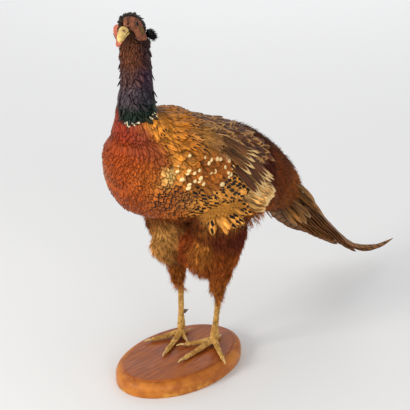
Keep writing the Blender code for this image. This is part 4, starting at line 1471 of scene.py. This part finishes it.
def make_eyes(skin):
    """Glass eyes: a dark pupil in a brown ring, in a puckered lid."""
    w, shader, glass = new_finish("glass_eye", Roughness=0.16, Specular_IOR_Level=0.12)
    w2, lid_shader, lid = new_finish("eye_lid", Roughness=0.6)
    place = w2.place()
    grain = w2.noise(place, 1500.0, 3.0)
    connect(w2, w2.mix(grain, (0.10, 0.045, 0.028), (0.035, 0.018, 0.014)),
            lid_shader["Base Color"])
    add_bump(w2, grain, 0.5, 0.0004, lid_shader["Normal"])
    ring = w.attribute("ring")
    streaks = w.noise(w.place(), 2400.0, 3.0)
    iris = w.mix(w.ramp(streaks, 0.35, 0.65), (0.115, 0.045, 0.016), (0.045, 0.018, 0.008))
    colour = w.mix(w.ramp(ring, 0.42, 0.50), (0.002, 0.002, 0.002), iris)
    colour = w.mix(w.ramp(ring, 0.72, 0.82), colour, (0.006, 0.004, 0.004))
    connect(w, colour, shader["Base Color"])
    turn = Matrix((tuple(HEAD_X), tuple(HEAD_Y), tuple(HEAD_Z))).transposed().to_4x4()
    skin_tree = BVHTree.FromObject(skin, bpy.context.evaluated_depsgraph_get())
    for side, sign in SIDES:
        start = from_head(sign * 0.05, *EYE_AT)
        found, _, _, _ = skin_tree.ray_cast(Vector(start), Vector(-HEAD_X * sign))
        out_by = float((np.array(found) - EYE_MIDDLE) @ HEAD_X) * sign + EYE_OUT[side]
        centre = from_head(sign * (out_by - EYE_RADIUS * 0.35), *EYE_AT)
        place = (Matrix.Translation(Vector(centre)) @ turn
                 @ Matrix.Rotation(math.radians(90), 4, "Y"))
        body = bmesh.new()
        bmesh.ops.create_uvsphere(body, u_segments=40, v_segments=24, radius=EYE_RADIUS,
                                  matrix=place)
        mesh = bpy.data.meshes.new(f"eye_ball_{side}")
        body.to_mesh(mesh)
        body.free()
        eye = link(f"eye_ball_{side}", mesh)
        mesh.shade_smooth()
        places, _ = mesh_arrays(mesh)
        out = ((places - centre) @ HEAD_X) * sign / EYE_RADIUS
        put_attribute(mesh, "ring", "FLOAT", np.arccos(np.clip(out, -1, 1)) / (math.pi / 2) * 0.95)
        mesh.materials.append(glass)
        finish_piece(eye, "glass_eye", f"eye_{side}")
        make_lid(side, sign, out_by, lid)


LID_SQUEEZE = 0.86  # the lids close the ring a little from above and below


def make_lid(side, sign, out_by, material):
    """A puckered ring of skin round the eye."""
    verts, faces = [], []
    steps, sides = 48, 8
    for i in range(steps):
        turn = 2 * math.pi * i / steps
        pucker = 1 + 0.06 * math.cos(16 * turn)
        for k in range(sides):
            angle = 2 * math.pi * k / sides
            out = 0.00075 * math.sin(angle) * pucker
            away = EYE_RADIUS * 0.80 + 0.0008 * math.cos(angle) * pucker
            verts.append(from_head(sign * (out_by + 0.0010 + out),
                                   EYE_AT[0] + away * math.cos(turn),
                                   EYE_AT[1] + away * LID_SQUEEZE * math.sin(turn)))
            faces.append([i * sides + k, i * sides + (k + 1) % sides,
                          (i + 1) % steps * sides + (k + 1) % sides,
                          (i + 1) % steps * sides + k])
    ring = mesh_object(f"eye_lid_{side}", verts, faces, material)
    face_outwards(ring.data)
    finish_piece(ring, "face_skin")


def make_head(skin, groups, tree):
    beak = horn_material("beak_horn", (0.74, 0.54, 0.18), (0.50, 0.30, 0.07), 0.36, True)
    smooth_copy("beak_upper", "beak_top", beak, "beak_horn")
    smooth_copy("beak_lower", "beak_bottom", beak, "beak_horn")
    make_face(skin, groups, tree)
    make_eyes(skin)
    black = plumage_material("ear_tuft_black", groups, 0.55, streak=0.5)
    tuft = plume_shape("shape_ear", 8, 14, 12, thin=0.020, curl=0.12)
    for side in ("left", "right"):
        core = remeshed((f"ear_tuft_{side}",), f"ear_{side}", 0.0007, 3)
        places, normals = ready_to_scatter(core, HEAD_Y - 0.7 * HEAD_Z)
        count = len(places)
        places = places - normals * 0.0007
        move_points(core.data, places)
        put_attribute(core.data, "everywhere", "FLOAT", np.ones(count))
        put_attribute(core.data, "marking", "FLOAT", np.ones(count))
        put_attribute(core.data, "plumage", "FLOAT_COLOR",
                      np.tile((0.010, 0.008, 0.008, 1.0), (count, 1)))
        hairs = grow_from(core, tree, f"ear_feathers_{side}", {
            "Feather": tuft, "Region": "everywhere", "Spacing": 0.0012, "Length": 0.0082,
            "Width": 0.0070, "Lift": 0.30, "Stray": 0.45, "Uneven": 0.3, "Seed": 5,
            "Finish": black})
        finish_piece(hairs, "ear_feather")
        drop_attributes(core.data, ("lie", "everywhere"))
        give_material(core, black)
        core.data.uv_layers.new(name="vane")
        finish_piece(core, "ear_feather", f"ear_tuft_{side}")
    bpy.data.objects.remove(tuft)


# ---------------------------------------------------------------- legs

def leg_material():
    """Dry scaly skin: tan, ochre between the scales, with dark stains, and painted shade in the
    creases between the scales.
    """
    w, shader, material = new_finish("leg_scales", Roughness=0.55, Specular_IOR_Level=0.3)
    place = w.place()
    cloud = w.noise(place, 85.0, 4.0)
    fine = w.noise(place, 900.0, 3.0)
    cells = w.node("ShaderNodeTexVoronoi", {"Vector": place, "Scale": 620.0}, "Distance",
                   feature="DISTANCE_TO_EDGE")
    mixed = w.mix(w.ramp(cloud, 0.38, 0.62), (0.80, 0.49, 0.140), (0.52, 0.26, 0.050))
    dirt = w.noise(place, 230.0, 5.0, 0.75)
    mixed = w.mix(w.times(w.ramp(dirt, 0.53, 0.62), 0.85), mixed,
                  (0.085, 0.040, 0.012))
    mixed = w.mix(w.times(w.ramp(fine, 0.56, 0.66), 0.7), mixed,
                  (0.10, 0.05, 0.018))
    # Painted shade: darker along the scales' edges, in the creases.
    mixed = w.mix(w.times(w.ramp(cells, 0.06, 0.0), 0.6), mixed,
                  (0.13, 0.07, 0.025))
    connect(w, mixed, shader["Base Color"])
    add_bump(w, w.add(w.ramp(cells, 0.0, 0.15), fine), 0.6, 0.0004, shader["Normal"])
    return material


SCUTE_SIDES = 8


def scute_shape(name):
    """A leg scale: a low plate, broader than long, with its lower edge standing out."""
    verts, places = [], []
    outline = [(0.5 * math.cos(t), 0.5 * math.sin(t)) for t in
               (math.pi * (2 * k + 1) / SCUTE_SIDES for k in range(SCUTE_SIDES))]
    for size, up in ((1.0, -0.10), (0.92, 0.16), (0.55, 0.26)):
        for x, y in outline:
            verts.append((x * size, y * size, up + (0.12 * y if up > 0 else 0)))
            places.append((0.5 + x * size, 0.5 + y * size))
    return template(name, verts, banded(3, SCUTE_SIDES), places)


def make_legs(tree):
    scales = leg_material()
    claw = horn_material("claw_horn", (0.66, 0.46, 0.17), (0.42, 0.26, 0.09), 0.42)
    spur = horn_material("spur_horn", (0.060, 0.035, 0.022), (0.16, 0.10, 0.06), 0.4)
    plate = scute_shape("shape_scute")
    for side in ("left", "right"):
        leg = remeshed((f"shank_{side}", f"foot_{side}"), f"leg_{side}", 0.00062, 5, grow=0.0003)
        places, normals = mesh_arrays(leg.data)
        lumps = 0.00045 * wander(places, 210, 3) + 0.0003 * wander(places, 480, 5)
        places = places + normals * (lumps - 0.0006)[:, None]
        move_points(leg.data, places)
        places, normals = ready_to_scatter(leg, (0.0, 0.0, -1.0))
        count = len(places)
        floor_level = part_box("plinth")[1].z
        top = np.clip(normals[:, 2] * 2.0, 0, 1) * (places[:, 2] < floor_level + 0.018)
        shaft = (places[:, 2] >= floor_level + 0.014) * 1.0
        joint = places[places[:, 2] > floor_level + 0.014].mean(0)
        away = places - joint
        outward = np.stack([away[:, 0], away[:, 1], np.zeros(count)], 1)
        outward = along_skin(np.where(shaft[:, None] > 0, (0, 0, -1.0), outward), normals)
        lie = leg.data.attributes["lie"]
        lie.data.foreach_set("vector", outward.astype(np.float32).ravel())
        put_attribute(leg.data, "on_scales", "FLOAT", np.maximum(top, shaft))
        put_attribute(leg.data, "plumage", "FLOAT_COLOR",
                      np.tile((0.4, 0.28, 0.1, 1.0), (count, 1)))
        put_attribute(leg.data, "marking", "FLOAT", np.ones(count))
        plates = grow_from(leg, tree, f"leg_scales_{side}", {
            "Feather": plate, "Region": "on_scales", "Spacing": 0.00175, "Length": 0.0023,
            "Width": 0.0027, "Lift": 0.04, "Stray": 0.15, "Uneven": 0.15, "Seed": 31,
            "Finish": scales})
        finish_piece(plates, "leg_scales")
        drop_attributes(leg.data, ("lie", "on_scales", "plumage", "marking"))
        give_material(leg, scales)
        finish_piece(leg, "leg_scales", f"shank_{side}", f"foot_{side}")
        smooth_copy(f"spur_{side}", f"spur_point_{side}", spur, "spur_horn")
        for toe in ("hind", "inner", "middle", "outer"):
            smooth_copy(f"claw_{side}_{toe}", f"nail_{side}_{toe}", claw, "claw_horn")
    bpy.data.objects.remove(plate)


# ---------------------------------------------------------------- the plinth

def wood_material():
    """Varnished reddish wood, its grain along the board, its side painted lighter and more orange
    than its top as painted light, and lighter in patches along its lower band.
    """
    w, shader, material = new_finish("plinth_wood", Roughness=0.42, Coat_Weight=0.08,
                                     Coat_Roughness=0.2, Specular_IOR_Level=0.2)
    place = w.place()
    turned = w.node("ShaderNodeMapping", {"Vector": place, "Rotation": (0, 0, math.radians(-8)),
                                          "Scale": (1.0, 0.10, 1.0)})
    bands = w.noise(turned, 62.0, 3.0, 0.5)
    rings = w.math("SINE", w.times(bands, 46.0))
    pores = w.noise(w.node("ShaderNodeMapping", {"Vector": place, "Scale": (1.0, 0.035, 1.0)}),
                    1500.0, 3.0)
    cloud = w.noise(place, 26.0, 4.0)
    colour = w.mix(w.ramp(rings, -0.9, 0.9), (0.230, 0.048, 0.006), (0.330, 0.080, 0.010))
    colour = w.mix(w.times(w.ramp(pores, 0.52, 0.66), 0.55), colour,
                   (0.120, 0.038, 0.012))
    colour = w.mix(w.ramp(cloud, 0.45, 0.75, 0.0, 0.55), colour, (0.40, 0.125, 0.020))
    height = w.split(place)[2]
    # Painted light: the board's side is lighter and more orange than its top, for the lamps
    # falling on it, over a random tone.
    side = w.ramp(height, 0.0228, 0.0200)
    painted_light_side_tone = w.mix(w.ramp(w.noise(place, 45.0, 4.0), 0.38, 0.66), (0.56, 0.195, 0.026),
                      (0.36, 0.100, 0.014))
    colour = w.mix(w.times(side, 0.80), colour, painted_light_side_tone)
    # Lighter in random patches towards the bottom of the side, which also raise the bump.
    low = w.ramp(height, 0.0125, 0.0020)
    lighter_low_patches = w.times(low, w.ramp(w.noise(place, 75.0, 4.0), 0.47, 0.62))
    colour = w.mix(w.times(lighter_low_patches, 0.65), colour, (0.72, 0.36, 0.060))
    connect(w, colour, shader["Base Color"])
    connect(w, w.ramp(cloud, 0.3, 0.7, 0.36, 0.55), shader["Roughness"])
    add_bump(w, w.add(pores, w.times(lighter_low_patches, 0.5)), 0.18, 0.0004,
             shader["Normal"])
    return material


BOARD_SIDES = 192


def make_plinth():
    """The oval board, turned finely: an upright edge, a quarter round, a small step, the top."""
    half_wide, half_long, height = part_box("plinth")[1]
    edge, step, margin = 0.0110, 0.0025, 0.0112
    profile = [(0.0016, 0.0), (0.0009, 0.0003), (0.0003, 0.0009), (0.0, 0.0016)]
    profile += [(0.0, edge * 0.5), (0.0, edge - 0.0004)]
    for k in range(13):
        turn = math.pi / 2 * k / 12
        profile.append((margin * 0.9 * (1 - math.cos(turn)),
                        edge + (height - edge - step) * math.sin(turn)))
    profile += [(margin - 0.0003, height - step), (margin, height - step + 0.0003),
                (margin + 0.0001, height - 0.0008), (margin + 0.0005, height - 0.0002),
                (margin + 0.0011, height), (margin + 0.0030, height)]
    verts = [((half_wide - inset) * math.cos(2 * math.pi * k / BOARD_SIDES),
              (half_long - inset) * math.sin(2 * math.pi * k / BOARD_SIDES), up)
             for inset, up in profile for k in range(BOARD_SIDES)]
    board = mesh_object("base_board", verts, banded(len(profile), BOARD_SIDES),
                        wood_material())
    board.data.set_sharp_from_angle(angle=math.radians(40))
    finish_piece(board, "plinth_wood", "plinth")


# ---------------------------------------------------------------- studio

CAMERA_AIM = Vector((0.0285, 0.0239, 0.2535))
CAMERA_TURN = 40.0  # degrees from straight ahead of the bird towards its left
CAMERA_RISE = 21.0
CAMERA_DISTANCE = 1.6
CAMERA_LENS = 100.35
FLOOR_COLOUR = (0.750, 0.755, 0.765, 1)
FLOOR_HALF = 6
WORLD_STRENGTH = 0.70
# The lights: name, place, aim, size, power, colour.
LIGHTS = (
    ("key", (-0.5, -2.3, 1.15), (0, 0, 0.28), 0.9, 44, (1.0, 0.96, 0.88)),
    ("side", (2.3, -1.2, 0.9), (0, 0, 0.25), 1.2, 19, (1.0, 0.96, 0.90)),
    ("backdrop", (-2.2, 3.0, 2.8), (-2.2, 3.0, 0), 3.5, 50, (1, 1, 1)),
)


def make_camera():
    camera = link("camera", bpy.data.cameras.new("camera"))
    turn, rise = math.radians(CAMERA_TURN), math.radians(CAMERA_RISE)
    back = Vector((math.sin(turn) * math.cos(rise), -math.cos(turn) * math.cos(rise),
                   math.sin(rise)))
    camera.location = CAMERA_AIM + back * CAMERA_DISTANCE
    camera.rotation_mode = "QUATERNION"
    camera.rotation_quaternion = (-back).to_track_quat("-Z", "Y")
    camera.data.sensor_width = 36.0
    camera.data.lens = CAMERA_LENS
    camera.data.clip_end = 40.0
    bpy.context.scene.camera = camera


def add_light(name, place, target, size, power, colour):
    data = bpy.data.lights.new(name, "AREA")
    data.shape = "DISK"
    data.size = size
    data.energy = power
    data.color = colour
    light = link(name, data)
    light.location = place
    light.rotation_mode = "QUATERNION"
    light.rotation_quaternion = (Vector(target) - Vector(place)).to_track_quat("-Z", "Y")


def make_studio():
    _, shader, material = new_finish("studio_floor", Roughness=0.9)
    shader["Base Color"].default_value = FLOOR_COLOUR
    floor = mesh_object("floor", [(x * FLOOR_HALF, y * FLOOR_HALF, 0) for x, y in
                                  ((-1, -1), (1, -1), (1, 1), (-1, 1))],
                        [[0, 1, 2, 3]], material, smooth=False)
    world = bpy.data.worlds.new("studio")
    world.use_nodes = True
    world.node_tree.nodes["Background"].inputs["Color"].default_value = (1, 1, 1, 1)
    world.node_tree.nodes["Background"].inputs["Strength"].default_value = WORLD_STRENGTH
    bpy.context.scene.world = world
    bpy.context.scene.view_settings.view_transform = "Standard"
    for light in LIGHTS:
        add_light(*light)


def main():
    groups = {"vane": make_vane_group()}
    make_camera()
    make_studio()
    skin = make_skin()
    tree = make_coats(skin, groups)
    make_tail(groups)
    make_wings(skin, groups)
    make_tail_coverts(skin, groups)
    make_head(skin, groups, tree)
    make_legs(tree)
    make_plinth()
    skin.data.materials.append(skin_material())
    finish_piece(skin, "breast_feather", *FLESH)


main()
